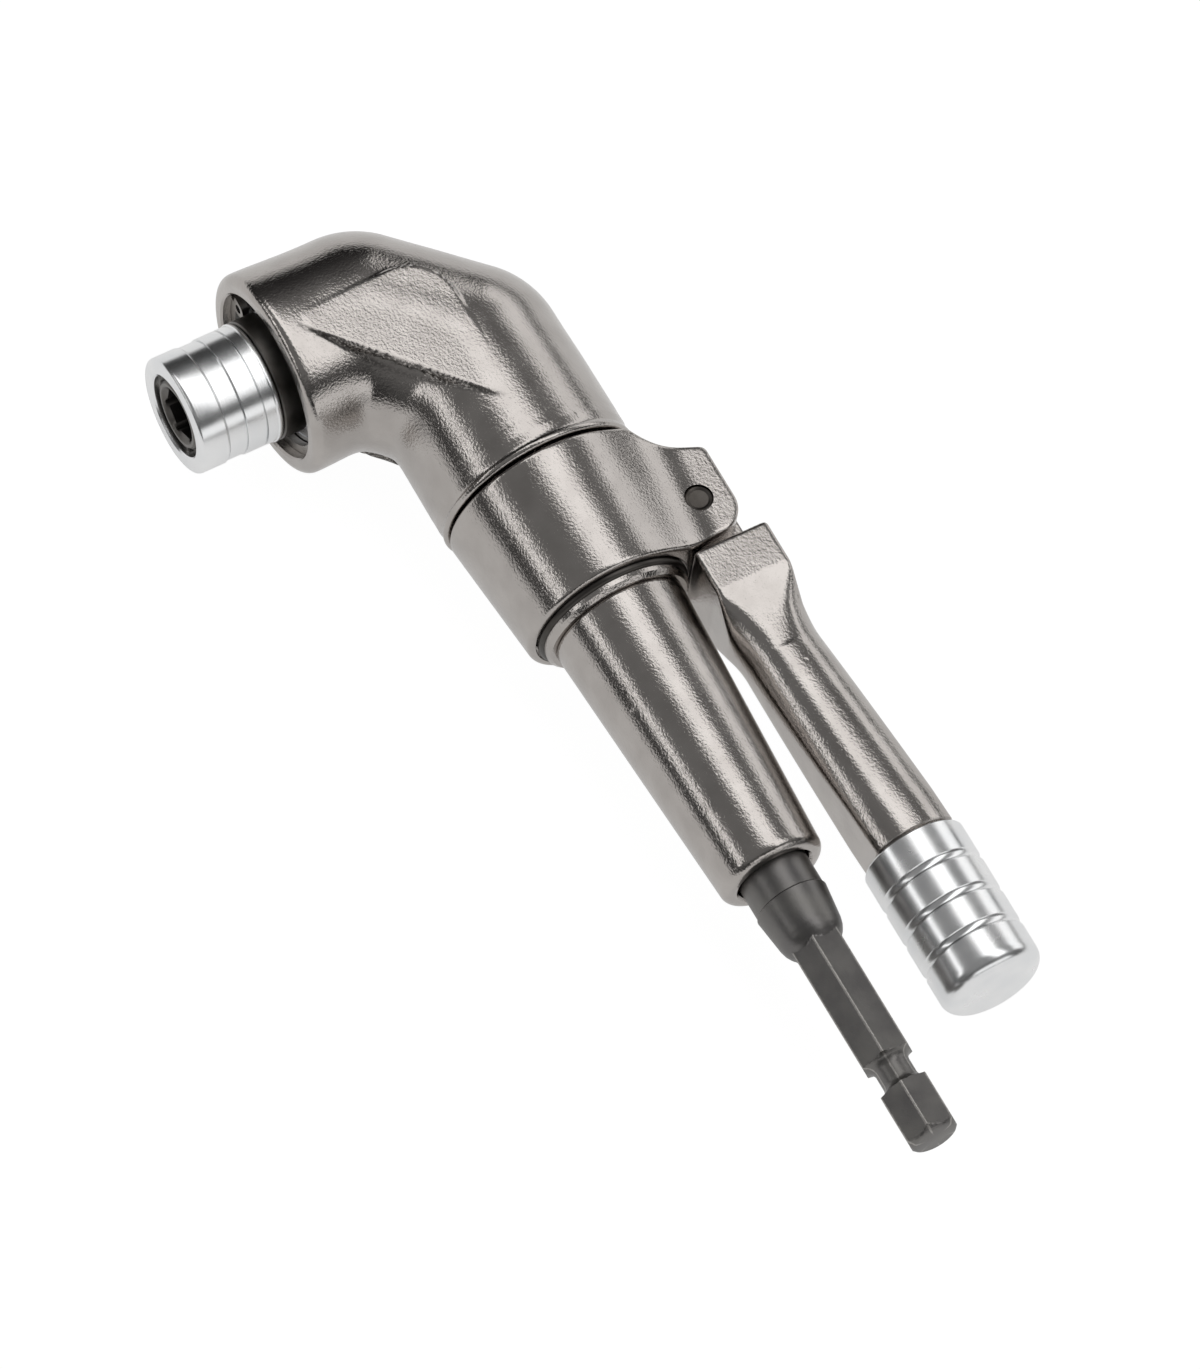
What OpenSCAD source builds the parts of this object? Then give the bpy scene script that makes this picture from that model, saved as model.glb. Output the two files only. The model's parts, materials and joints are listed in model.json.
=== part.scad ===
// Right-angle screwdriver attachment with a folding side handle.
// Origin: centre of the end face of the hexagon drive shank.
// +X runs along the shank towards the gear head, +Y is the direction the bit points,
// +Z is up when the tool lies on its side with the handle folded along the barrel.

/* [Drive shank] */
// Width across the flats of the hexagon shank
hex_af = 6.35; // [6.3:0.01:6.4]
// Length of the bare hexagon, from its end face to the cone
hex_len = 29.4; // [26:0.1:36]
// Length of the cone between the hexagon and the journal
cone_len = 6.8; // [5:0.1:9]
// Length of the journal that shows between the cone and the barrel
journal_show = 4.3; // [3:0.1:8]
// Radius of the journal
journal_r = 4.75; // [4.3:0.05:4.9]
// Chamfer at the end of the shank, measured along it
tip_chamfer = 1.3; // [0.6:0.1:2]
// Distance from the end face to the middle of the ball groove
groove_pos = 9.8; // [8:0.1:12]
// Length of the ball groove along the shank
groove_len = 4.4; // [3:0.1:5]
// Radius at the bottom of the ball groove
groove_r = 2.35; // [2.2:0.05:3]
// Angle of the first hexagon corner from the bit direction
shank_turn = 12; // [0:1:59]
// Radius of the shaft inside the bushes
shaft_r = 3.2; // [2.8:0.05:3.4]

/* [Gear housing] */
// Length of the tapered barrel below the swivel collar
barrel_len = 39.5; // [30:0.5:60]
// Radius of the barrel at its open end
barrel_end_r = 7; // [6.8:0.1:7.8]
// Radius of the barrel where it meets the collar seat
barrel_top_r = 8.9; // [8.4:0.1:9.4]
// Rounding of the open end of the barrel
barrel_edge = 1.4; // [0.6:0.1:1.6]
// Radius of the seat on which the collar turns
seat_r = 10; // [9.8:0.05:10.4]
// Radius of the neck above the collar
neck_r = 13.3; // [12.6:0.05:13.5]
// Radius of the neck where the elbow starts
elbow_r = 13; // [12.5:0.05:13.4]
// Length of the neck from its lip to the start of the elbow
neck_len = 19.5; // [18:0.1:26]
// Radius of the bell behind its rim
bell_r = 13; // [12.4:0.05:13.2]
// Radius of the bell at its rim
rim_r = 13.35; // [13.2:0.05:13.8]
// Length of the bell from the elbow to its mouth
bell_len = 12.9; // [12.5:0.1:16]
// Rounding of the mouth of the bell, outside
mouth_round = 1.25; // [0.6:0.05:1.4]
// Distance from the gear apex to the elbow along the shank axis
elbow_in = 9.8; // [9:0.1:10.5]
// Distance from the gear apex to the elbow along the bit axis
elbow_out = 10; // [9.5:0.1:11]
// Radius of the bent pipe of the elbow
bend_r = 12.9; // [12.3:0.05:12.95]
// Half thickness across the two flat pads of the elbow
pad_half = 13.05; // [12:0.05:13.1]
// Reach of the flat pads from the gear apex along the bit axis
pad_out = 21.2; // [18:0.1:21.4]
// Reach of the flat pads from the gear apex along the shank axis
pad_in = 22.5; // [19:0.1:24]
// Fillet between the bell and the neck
crotch_r = 4.6; // [2.5:0.1:5]

/* [Swivel collar] */
// Length of the collar along the barrel
collar_len = 17.4; // [15:0.1:22]
// Outer radius of the collar at the neck
collar_top_r = 13.1; // [12.8:0.05:13.4]
// Outer radius of the collar at its lower end
collar_low_r = 11.65; // [11.4:0.05:12.6]
// Rounding of the lower end of the collar
collar_edge = 0.7; // [0.4:0.1:0.8]
// Half thickness of the lug across the hinge pin
lug_half = 6.5; // [6:0.1:7.5]
// Distance from the barrel axis to the outer edge of the lug
lug_reach = 19.2; // [18.5:0.1:21]
// Radius of the lower outer corner of the lug
lug_corner = 3.8; // [2:0.1:4]

/* [Side handle] */
// Distance from the outer edge of the lug in to the tongue of the handle
tongue_edge = 0.2; // [0.1:0.05:0.8]
// Distance from the lower end of the collar up to the hinge pin
pin_up = 5.4; // [4.8:0.1:6.5]
// Radius of the hinge pin
pin_r = 1.85; // [1.5:0.05:2.2]
// Width of the handle head, along the lug
head_w = 10.3; // [8.6:0.1:10.6]
// Length of the flat part of the handle head
head_len = 6.1; // [4:0.1:9]
// Length of the hollow ramp from the head down to the rod
ramp_len = 9.5; // [7:0.1:14]
// Half thickness of the tongue that turns in the lug
tongue_half = 2.5; // [2:0.1:3.2]
// Length of the handle from its shoulder to the end cap
handle_len = 45.8; // [40:0.1:70]
// Radius of the rod where it leaves the head
rod_top_r = 5.05; // [4.8:0.05:5.4]
// Radius of the rod at the end cap
rod_end_r = 6.75; // [6.2:0.05:7.4]
// Sideways shift of the end cap from the middle of the head
rod_shift = 1; // [0.6:0.1:2]
// Length of the end cap
cap_len = 21.1; // [16:0.1:30]
// Radius of the end cap
cap_r = 6.9; // [6.4:0.05:7.4]
// Rounding of the free end of the end cap
cap_round = 1.9; // [1:0.1:3]
// Radius of the three rounded grooves of the cap
cap_groove_r = 0.62; // [0.4:0.02:0.8]

/* [Bit holder] */
// Length of the bit sleeve
sleeve_len = 11.3; // [10.5:0.1:13]
// Outer radius of the bit sleeve
sleeve_r = 7.75; // [7.3:0.05:7.9]
// Radius of the spindle hub behind the sleeve
hub_r = 7.9; // [7.6:0.05:8.1]
// Radius of the spindle nose inside the sleeve
nose_r = 4.6; // [4.55:0.01:4.7]
// Travel of the sleeve when it is pulled forward
sleeve_travel = 2.2; // [1.8:0.1:2.4]
// Depth of the bit socket from the end of the nose
socket_depth = 17.2; // [16.8:0.1:17.6]
// Clearance of the bit socket across its flats
socket_play = 0.1; // [0.05:0.01:0.15]
// Diameter of the wire of the sleeve spring
spring_wire = 0.5; // [0.4:0.02:0.56]
// Number of half turns of the sleeve spring
spring_half_turns = 7; // [5:1:7]

/* [Output bearing and gears] */
// Outer radius of the ball bearing
bearing_r = 11; // [10.9:0.05:11.1]
// Bore radius of the ball bearing
bearing_bore_r = 5; // [4.9:0.05:5.1]
// Width of the ball bearing
bearing_w = 6; // [5.6:0.1:6.2]
// Number of balls in the bearing
ball_count = 11; // [9:1:12]
// Radius of a bearing ball
ball_r = 1.5875; // [1.5:0.0125:1.6]
// Number of teeth on each bevel gear
gear_teeth = 15; // [13:1:18]
// Pitch radius of both bevel gears at the outer end of the teeth
gear_pitch_r = 8.25; // [8.1:0.05:8.3]
// Length of the gear teeth along the pitch cone
face_len = 4; // [3.4:0.1:4.2]
// Flank clearance between meshing teeth, on each side
tooth_play = 0.07; // [0.05:0.01:0.1]

/* [Hidden] */

// Fineness of round surfaces
$fn = 96;
// Overrun of every cut past the face it opens
over = 1;
// Clearance of a shaft in its bush or bore
run_fit = 0.04;
// Face clearance between pieces that turn against each other
face_gap = 0.1;

// Places along the shank axis
cone_x = hex_len;
journal_x = hex_len + cone_len;
barrel_x = journal_x + journal_show;
seat_x = barrel_x + barrel_len;
// Part of the seat below the collar that carries the snap ring
seat_foot = 2.6;
collar_x = seat_x + seat_foot;
collar_end_x = collar_x + collar_len;
// Gap between the collar and the lip of the neck
lip_gap = 0.3;
lip_x = collar_end_x + lip_gap;
neck_end_x = lip_x + neck_len;
axis_x = neck_end_x + elbow_in;
// Corner radius of a hexagon, and the run of a 45 degree slope, as shares
hex_corner_share = 1 / sqrt(3);
slope_share = 1 / sqrt(2);
hex_corner_r = hex_af * hex_corner_share;

// Places along the bit axis
mouth_y = elbow_out + bell_len;
circlip_groove = 1.35;
circlip_t = 1;
bearing_face_y = mouth_y - circlip_groove - circlip_t - face_gap;
bearing_back_y = bearing_face_y - bearing_w;
hub_back_y = bearing_face_y + circlip_t / 2;
hub_face_y = mouth_y + circlip_groove;
sleeve_y = hub_face_y + face_gap;
sleeve_face_y = sleeve_y + sleeve_len;
// Depth of the spindle end inside the mouth of the sleeve
nose_inset = 0.4;
nose_y = sleeve_face_y - nose_inset;

// Gear sizes at the pitch cone of 45 degrees
module_mm = 2 * gear_pitch_r / gear_teeth;
cone_dist = gear_pitch_r / slope_share;
toe_share = 1 - face_len / cone_dist;
virtual_teeth = gear_teeth / slope_share;
pressure = 20;
addendum = module_mm;
dedendum = 1.2 * module_mm;
gear_back = 1.2 * module_mm;
gear_hub_r = 0.72 * gear_pitch_r;
gear_hub_end = 12.6;
gear_seat_r = 4.5;
tail_r = 2.4;
shaft_end_gap = 4.4;

// Inner shape of the housing
cavity_r = 10.3;
cavity_start = 4.2;
upper_bush_y = 13.7;
upper_bush_len = 11;
upper_bush_r = 5.6;
washer_t = 0.8;
lower_bush_len = 9;
lower_bush_in = 3.2;
barrel_bore_r = 5;
core_r = 4.4;
tail_bush_r = 3.7;
tail_bush_len = 4.6;
tail_bush_y = -1.4;

module along_shank(x) {
    translate([x, 0, 0]) rotate([0, 90, 0]) children();
}

module along_bit(y) {
    translate([axis_x, y, 0]) rotate([-90, 0, 0]) children();
}

// Outline points on an arc about a centre, from one angle to another
function arc(cx, cy, r, from, to, steps) =
    [for (i = [0:steps]) let (a = from + (to - from) * i / steps) [cx + r * cos(a), cy + r * sin(a)]];

// A plain ring along the local Z axis
module ring(outer, inner, z0, z1) {
    rotate_extrude() translate([inner, z0]) square([outer - inner, z1 - z0]);
}

// GEAR HOUSING

// Radius of the barrel at a place along the shank
function barrel_r(x) = barrel_end_r + (barrel_top_r - barrel_end_r) * (x - barrel_x) / barrel_len;

snap_wire_r = 0.65;
snap_seat = 0.8;
snap_ring_r = seat_r + snap_wire_r - snap_seat;
clip_seat = 0.42;
lip_round = 0.6;
seat_step = 0.5;
ring_x = collar_x - snap_wire_r - 2 * face_gap;

// Outside of the barrel, collar seat, neck and upper dome as one turned form
module neck_form() {
    along_shank(0) rotate_extrude() polygon(concat(
        [[0, barrel_x]],
        arc(barrel_r(barrel_x + barrel_edge) - barrel_edge, barrel_x + barrel_edge, barrel_edge,
            -90, 0, 8),
        [[barrel_top_r, seat_x], [seat_r - seat_step, seat_x], [seat_r, seat_x + seat_step],
         [seat_r, lip_x]],
        arc(neck_r - lip_round, lip_x + lip_round, lip_round, -90, 0, 5),
        arc(0, neck_end_x, elbow_r, 0, 90, 24)));
}

flare_len = 7.6;
flare_steps = 6;

// Outside of the bell and its dome, turned about the bit axis
module bell_form() {
    flare_y = mouth_y - mouth_round - flare_len;
    along_bit(0) rotate_extrude() polygon(concat(
        arc(0, elbow_out, bell_r, -90, 0, 24),
        [for (i = [0:flare_steps - 1]) let (t = i / flare_steps)
            [bell_r + (rim_r - bell_r) * t * t * (3 - 2 * t), flare_y + flare_len * t]],
        arc(rim_r - mouth_round, mouth_y - mouth_round, mouth_round, 0, 90, 8),
        [[0, mouth_y]]));
}

// Bent pipe between the neck and the bell, with the crotch of the elbow inside it
module bend_form() {
    bend = bell_r + crotch_r;
    translate([axis_x - bend, bend, 0]) rotate([0, 0, -90]) rotate_extrude(angle = 90)
        translate([bend, 0]) circle(r = bend_r);
}

ledge_t = 1.1;
ledge_cut_r = 2.6;
ledge_cut_in = 0.9;
pad_corner = 4;
pad_lean = 0.8;

// Web that carries the two flat pads across the inside of the elbow, hollowed below each ledge
module pad_form() {
    slant = atan2(pad_out, pad_in);
    difference() {
        translate([axis_x, 0, -pad_half]) linear_extrude(2 * pad_half)
            polygon(concat([[-pad_in, pad_lean], [-pad_in / 2, 0]],
                arc(pad_lean - pad_corner, pad_corner, pad_corner, -90, 0, 8), [[0, pad_out]]));
        for (side = [-1, 1]) translate([axis_x - pad_in, 0, side * (pad_half - ledge_t - ledge_cut_r)])
            rotate([0, 0, slant]) translate([0, ledge_cut_r - ledge_cut_in, 0]) rotate([0, 90, 0])
                cylinder(r = ledge_cut_r, h = norm([pad_in, pad_out]));
    }
}

module gear_housing() {
    color([0.42, 0.40, 0.39]) difference() {
        union() {
            neck_form();
            bell_form();
            bend_form();
            pad_form();
        }
        // Gear chamber and bearing seat, open at the bell mouth
        along_bit(0) rotate_extrude() polygon([
            [0, tail_bush_y], [tail_bush_r, tail_bush_y], [tail_bush_r, cavity_start],
            [cavity_r, cavity_start], [cavity_r, bearing_back_y], [bearing_r, bearing_back_y],
            [bearing_r, mouth_y - circlip_groove - circlip_t],
            [bearing_r + clip_seat, mouth_y - circlip_groove - circlip_t],
            [bearing_r + clip_seat, mouth_y - circlip_groove],
            [bearing_r, mouth_y - circlip_groove],
            [bearing_r, mouth_y + over], [0, mouth_y + over]]);
        // Pinion chamber, bush seats and shaft core, open at the barrel end
        along_shank(0) rotate_extrude() polygon([
            [0, barrel_x - over], [barrel_bore_r, barrel_x - over],
            [barrel_bore_r, barrel_x + lower_bush_in + lower_bush_len],
            [core_r, barrel_x + lower_bush_in + lower_bush_len],
            [core_r, axis_x - upper_bush_y - upper_bush_len],
            [upper_bush_r, axis_x - upper_bush_y - upper_bush_len],
            [upper_bush_r, axis_x - upper_bush_y + face_gap],
            [cavity_r, axis_x - upper_bush_y + face_gap],
            [cavity_r, axis_x - cavity_start], [0, axis_x - cavity_start]]);
        // Groove of the snap ring that holds the collar up
        along_shank(ring_x) ring(barrel_top_r + neck_r, seat_r - snap_seat, -snap_wire_r, snap_wire_r);
    }
}

// SWIVEL COLLAR

// Wall between the bore and the floor of the slot
slot_web = 0.85;
slot_floor = seat_r + slot_web;
slot_play = 0.1;
slot_end = 0.4;
slot_gap = 0.15;
// The tongue fills the slot, and the pin sits in the middle of it
tongue_w = lug_reach - tongue_edge - slot_gap - slot_floor;
pin_x = collar_x + pin_up;
pin_out = slot_floor + slot_gap + tongue_w / 2;
lug_round = 0.7;
// Skirt of the collar around the snap ring
skirt_len = 0.7;
skirt_gap = 0.15;
skirt_x = collar_x - skirt_len;
skirt_bore_r = snap_ring_r + snap_wire_r + skirt_gap;
lug_rise = 14.2;
lug_slope = 2.7;
root_blend = 2.4;

// Outline of the lug seen along the hinge pin
module lug_outline() {
    polygon(concat(
        [[0, 0], [0, -lug_reach / 2]],
        arc(lug_corner, -lug_reach + lug_corner, lug_corner, 180, 270, 8),
        [[lug_rise - lug_slope, -lug_reach], [lug_rise - lug_slope + lug_round, -lug_reach + lug_round],
         [lug_rise, -neck_r], [lug_rise + root_blend, -neck_r + root_blend], [lug_rise + root_blend, 0]]));
}

module collar_shell() {
    along_shank(0) rotate_extrude() polygon(concat(
        [[seat_r - lug_round, collar_x], [skirt_bore_r, collar_x], [skirt_bore_r, skirt_x]],
        arc(collar_low_r - collar_edge, skirt_x + collar_edge, collar_edge, -90, 0, 6),
        [[collar_top_r, collar_end_x - lug_round], [collar_top_r - lug_round / 2, collar_end_x],
         [seat_r - lug_round, collar_end_x]]));
}

module swivel_collar() {
    color([0.42, 0.40, 0.39]) difference() {
        union() {
            collar_shell();
            translate([collar_x, 0, -lug_half]) linear_extrude(2 * lug_half) lug_outline();
        }
        // Running bore
        along_shank(collar_x - over) cylinder(r = seat_r + run_fit, h = collar_len + 2 * over);
        // Slot for the tongue of the handle, closed at its upper end
        translate([collar_x - over, -lug_reach - over, -tongue_half - slot_play])
            cube([pin_up + over + tongue_w / 2 + slot_end, lug_reach + over - slot_floor,
                2 * (tongue_half + slot_play)]);
        // Pin hole through both ears
        translate([pin_x, -pin_out, -lug_half - over]) cylinder(r = pin_r, h = 2 * (lug_half + over));
    }
}

ring_gap_angle = 14;
ring_gap_turn = 118;

// Split wire ring in the groove under the collar
module collar_snap_ring() {
    color([0.45, 0.44, 0.43]) along_shank(ring_x) rotate([0, 0, ring_gap_turn])
        rotate_extrude(angle = 360 - ring_gap_angle)
            translate([snap_ring_r, 0]) circle(r = snap_wire_r - run_fit / 2, $fn = 24);
}

// SIDE HANDLE

shoulder_gap = 0.9;
shoulder_x = collar_x - shoulder_gap;
// The folded head lies beside the snap ring
handle_gap = 0.2;
head_mid = snap_ring_r + snap_wire_r + handle_gap + head_w / 2;
handle_end_x = shoulder_x - handle_len;
rod_top_x = shoulder_x - head_len - ramp_len / 2;
// Lead of the rod towards the barrel where it leaves the head
rod_in = 0.4;
rod_top_y = -head_mid + rod_in;
cap_y = -head_mid - rod_shift;

// Rod of the handle, widening towards the cap and leaning slightly outwards
module rod_form() {
    run = rod_top_x - handle_end_x;
    side = cap_y - rod_top_y;
    translate([rod_top_x, rod_top_y, 0]) rotate([0, 0, atan2(side, -run)]) rotate([0, 90, 0])
        cylinder(r1 = rod_top_r, r2 = rod_end_r, h = norm([run, side]));
}

// Side outline of the head, seen along the hinge pin
module head_outline() {
    waist = 2 * rod_top_r - lug_round;
    polygon([
        [shoulder_x, -head_mid - head_w / 2 + lug_round], [shoulder_x, -head_mid + head_w / 2 - lug_round],
        [shoulder_x - lug_round, -head_mid + head_w / 2],
        [shoulder_x - head_len, -head_mid + head_w / 2],
        [shoulder_x - head_len - ramp_len, rod_top_y + waist / 2 - lug_round],
        [shoulder_x - head_len - ramp_len, rod_top_y - waist / 2 + lug_round],
        [shoulder_x - head_len, -head_mid - head_w / 2],
        [shoulder_x - lug_round, -head_mid - head_w / 2]]);
}

// Thickness outline of the head, seen from the side: flat, then a hollow ramp
module head_section() {
    drop = lug_half - rod_top_r + lug_round;
    steps = 8;
    top = concat([[shoulder_x, lug_half], [shoulder_x - head_len, lug_half]],
        [for (i = [1:steps]) let (t = i / steps)
            [shoulder_x - head_len - ramp_len * t, lug_half - drop * (1 - (1 - t) * (1 - t))]]);
    polygon(concat(top, [for (i = [len(top) - 1:-1:0]) [top[i][0], -top[i][1]]]));
}

module side_handle() {
    color([0.42, 0.40, 0.39]) difference() {
        union() {
            rod_form();
            intersection() {
                translate([0, 0, -lug_half - over]) linear_extrude(2 * (lug_half + over)) head_outline();
                translate([0, -head_mid + head_w, 0]) rotate([90, 0, 0])
                    linear_extrude(2 * head_w) head_section();
            }
            // Tongue with its round end
            translate([shoulder_x - over, -pin_out - tongue_w / 2, -tongue_half])
                cube([pin_x - shoulder_x + over, tongue_w, 2 * tongue_half]);
            translate([pin_x, -pin_out, -tongue_half]) cylinder(r = tongue_w / 2, h = 2 * tongue_half);
        }
        // Bore for the hinge pin
        translate([pin_x, -pin_out, -tongue_half - over])
            cylinder(r = pin_r + run_fit, h = 2 * (tongue_half + over));
        // Flat end where the cap seats
        translate([handle_end_x - over * 2, cap_y - rod_end_r - over, -rod_end_r - over])
            cube([over * 2, 2 * (rod_end_r + over), 2 * (rod_end_r + over)]);
        // Bore for the spigot of the cap
        translate([handle_end_x - over, cap_y, 0]) rotate([0, 90, 0])
            cylinder(r = spigot_r + run_fit, h = spigot_len + over + face_gap);
    }
}

pin_inset = 0.25;

// Hinge pin, staked a little below the faces of the lug
module handle_pin() {
    color([0.35, 0.35, 0.35]) translate([pin_x, -pin_out, -lug_half + pin_inset])
        cylinder(r = pin_r, h = 2 * (lug_half - pin_inset));
}

spigot_r = 4.2;
spigot_len = 7;
cap_groove_shares = [0.25, 0.49, 0.725];
cap_lead = 0.3;

// Outline of the cap: three rounded grooves and a rounded end
function cap_side() = concat(
    [for (k = [2:-1:0]) let (x = cap_groove_shares[k] * cap_len)
        for (i = [-4:4]) let (a = i * 15)
            [cap_r + cap_groove_r * (0.5 - cos(a)), -x + cap_groove_r * sin(a)]]);

module handle_end_cap() {
    color([0.86, 0.87, 0.87]) translate([handle_end_x, cap_y, 0]) rotate([0, 90, 0])
        rotate_extrude() polygon(concat(
            [[0, -cap_len]],
            arc(cap_r - cap_round, -cap_len + cap_round, cap_round, -90, 0, 8),
            cap_side(),
            [[cap_r, -cap_lead], [cap_r - cap_lead, 0], [spigot_r, 0], [spigot_r, spigot_len],
             [0, spigot_len]]));
}

// INPUT SHAFT

shoulder_in = 2.9;
groove_round = 1.3;
blend_share = 0.3;

// Turned form: cone, journal and the long shaft through the bushes
module shaft_form() {
    tip_x = axis_x - shaft_end_gap;
    soft = 3 * face_gap;
    cone_in = blend_share * cone_len;
    rotate_extrude() polygon([
        [0, cone_x - cone_in], [hex_af / 2 - soft, cone_x - cone_in],
        [hex_corner_r + soft / 2, cone_x + cone_in],
        [journal_r, journal_x], [journal_r, barrel_x + shoulder_in], [shaft_r, barrel_x + shoulder_in],
        [shaft_r, tip_x - soft], [shaft_r - soft, tip_x], [0, tip_x]]);
}

// Ball groove of the shank, half in section
module ball_groove() {
    flat = groove_len / 2 - groove_round;
    translate([0, groove_pos]) {
        for (end = [-flat, flat]) translate([groove_r + groove_round, end]) circle(r = groove_round);
        translate([groove_r, -flat]) square([hex_af, 2 * flat]);
        translate([groove_r + groove_round, -flat - groove_round])
            square([hex_af, 2 * (flat + groove_round)]);
    }
}

module input_shaft() {
    chamfer_r = hex_corner_r - blend_share * 2 * tip_chamfer;
    reach = cone_x + cone_len / 2;
    color([0.25, 0.25, 0.25]) along_shank(0) {
        shaft_form();
        difference() {
            rotate([0, 0, 90 + shank_turn]) cylinder(r = hex_corner_r, h = reach, $fn = 6);
            // Chamfered end
            rotate_extrude() polygon([[chamfer_r, -over], [hex_af, -over], [hex_af, tip_chamfer],
                [hex_corner_r + face_gap, tip_chamfer], [chamfer_r, 0]]);
            rotate_extrude() ball_groove();
        }
    }
}

// BEVEL GEARS

// Involute function in degrees
function inv(a) = tan(a) * 180 / PI - a;

// Half thickness of a tooth at a height above the pitch line, from the involute
// of the equivalent spur gear, less the flank clearance
function tooth_half(h) =
    let (rv = cone_dist + h, rb = cone_dist * cos(pressure),
         psi = 90 / virtual_teeth + inv(pressure) - (rv > rb ? inv(acos(rb / rv)) : 0))
    rv * psi * PI / 180 - tooth_play;

// Inner radius of the front face of a gear, as a share of its root radius there
web_share = 0.9;

// Heights of the points on one flank, root to tip
flank = [for (i = [0:4]) -dedendum + (addendum + dedendum) * i / 4];

// Angle and height of each point of one tooth, seen from the axis
function tooth_points() = concat(
    [for (h = flank) [-tooth_half(h) / (gear_pitch_r + h * slope_share) * 180 / PI, h]],
    [for (i = [len(flank) - 1:-1:0]) let (h = flank[i])
        [tooth_half(h) / (gear_pitch_r + h * slope_share) * 180 / PI, h]]);

// A bevel gear with its apex at the origin and its axis along +Z
module bevel_gear(phase, bore, hub_end) {
    pts = tooth_points();
    n = len(pts);
    cols = gear_teeth * n;
    function place(j, scale_share) =
        let (p = pts[j % n], a = phase + floor(j / n) * 360 / gear_teeth + p[0],
             r = (gear_pitch_r + p[1] * slope_share) * scale_share,
             z = (gear_pitch_r - p[1] * slope_share) * scale_share)
        [r * cos(a), r * sin(a), z];
    function flat_place(j, r, z) =
        let (a = phase + (j + 0.5) * 360 / cols - 180 / gear_teeth)
        [r * cos(a), r * sin(a), z];
    back_z = gear_pitch_r + dedendum * slope_share + gear_back / 2;
    front_z = (gear_pitch_r + dedendum * slope_share) * toe_share;
    root_r = (gear_pitch_r - dedendum * slope_share) * toe_share;
    points = concat(
        [for (j = [0:cols - 1]) flat_place(j, root_r * web_share, front_z)],
        [for (j = [0:cols - 1]) place(j, toe_share)],
        [for (j = [0:cols - 1]) place(j, 1)],
        [for (j = [0:cols - 1]) flat_place(j, gear_pitch_r - dedendum * slope_share, back_z)],
        [[0, 0, front_z], [0, 0, back_z]]);
    bottom = 4 * cols;
    faces = concat(
        [for (k = [0:2]) for (j = [0:cols - 1]) let (m = (j + 1) % cols)
            [k * cols + j, (k + 1) * cols + j, k * cols + m]],
        [for (k = [0:2]) for (j = [0:cols - 1]) let (m = (j + 1) % cols)
            [k * cols + m, (k + 1) * cols + j, (k + 1) * cols + m]],
        [for (j = [0:cols - 1]) [bottom, j, (j + 1) % cols]],
        [for (j = [0:cols - 1]) [bottom + 1, 3 * cols + (j + 1) % cols, 3 * cols + j]]);
    difference() {
        union() {
            polyhedron(points, faces, convexity = 4);
            translate([0, 0, back_z - gear_back / 2])
                cylinder(r = gear_hub_r, h = hub_end - back_z + gear_back / 2);
        }
        cylinder(r = bore, h = hub_end + over);
    }
}

module input_pinion() {
    color([0.5, 0.5, 0.52]) translate([axis_x, 0, 0]) rotate([0, -90, 0])
        bevel_gear(90, shaft_r + run_fit, gear_hub_end);
}

module output_gear() {
    color([0.5, 0.5, 0.52]) translate([axis_x, 0, 0]) rotate([-90, 0, 0])
        bevel_gear(180 + 180 / gear_teeth, gear_seat_r + run_fit, bearing_back_y);
}

module pinion_thrust_washer() {
    color([0.6, 0.5, 0.3]) along_shank(axis_x - upper_bush_y) ring(gear_hub_r, shaft_r + run_fit, face_gap,
        face_gap + washer_t);
}

module lower_shaft_bush() {
    color([0.6, 0.45, 0.25]) along_shank(barrel_x + lower_bush_in)
        ring(barrel_bore_r, shaft_r + run_fit, 0, lower_bush_len);
}

module upper_shaft_bush() {
    color([0.6, 0.45, 0.25]) along_shank(axis_x - upper_bush_y - upper_bush_len)
        ring(upper_bush_r, shaft_r + run_fit, 0, upper_bush_len);
}

// OUTPUT SPINDLE AND BEARING

magnet_r = 2.6;
magnet_len = 2;
ball_hole_r = 1.05;
lock_r = 1;
washer_inner_gap = 0.05;
ring_groove_w = 0.6;
ring_groove_d = 0.35;
ring_in = 0.9;
ring_groove_y = nose_y - ring_in;
hub_step_r = 6.4;
socket_lead = 0.5;
lock_in = 3.2;
lock_y = sleeve_y + lock_in;
lock_z = 3.63;
lock_out = 0.56;

module spindle_form() {
    rotate_extrude() polygon([
        [0, tail_bush_y + face_gap], [tail_r, tail_bush_y + face_gap], [tail_r, shaft_end_gap],
        [gear_seat_r, shaft_end_gap], [gear_seat_r, bearing_back_y], [bearing_bore_r, bearing_back_y],
        [bearing_bore_r, bearing_face_y], [hub_step_r, bearing_face_y], [hub_step_r, hub_back_y],
        [hub_r, hub_back_y], [hub_r, hub_face_y], [nose_r, hub_face_y],
        [nose_r, ring_groove_y - ring_groove_w], [nose_r - ring_groove_d, ring_groove_y - ring_groove_w],
        [nose_r - ring_groove_d, ring_groove_y], [nose_r, ring_groove_y],
        [nose_r, nose_y - socket_lead / 2], [nose_r - socket_lead / 2, nose_y], [0, nose_y]]);
}

module output_spindle() {
    socket_r = (hex_af + socket_play) * hex_corner_share;
    color([0.22, 0.22, 0.22]) difference() {
        along_bit(0) spindle_form();
        along_bit(nose_y - socket_depth) cylinder(r = socket_r, h = socket_depth + over, $fn = 6);
        along_bit(nose_y - socket_depth - magnet_len) cylinder(r = magnet_r, h = magnet_len + over);
        along_bit(nose_y - socket_lead) cylinder(r1 = hex_af / 2, r2 = hex_af / 2 + socket_lead + over,
            h = socket_lead + over);
        translate([axis_x, lock_y, 0]) cylinder(r = ball_hole_r, h = nose_r + over);
    }
}

module bit_magnet() {
    color([0.7, 0.7, 0.72]) along_bit(nose_y - socket_depth - magnet_len)
        cylinder(r = magnet_r, h = magnet_len);
}

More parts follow.
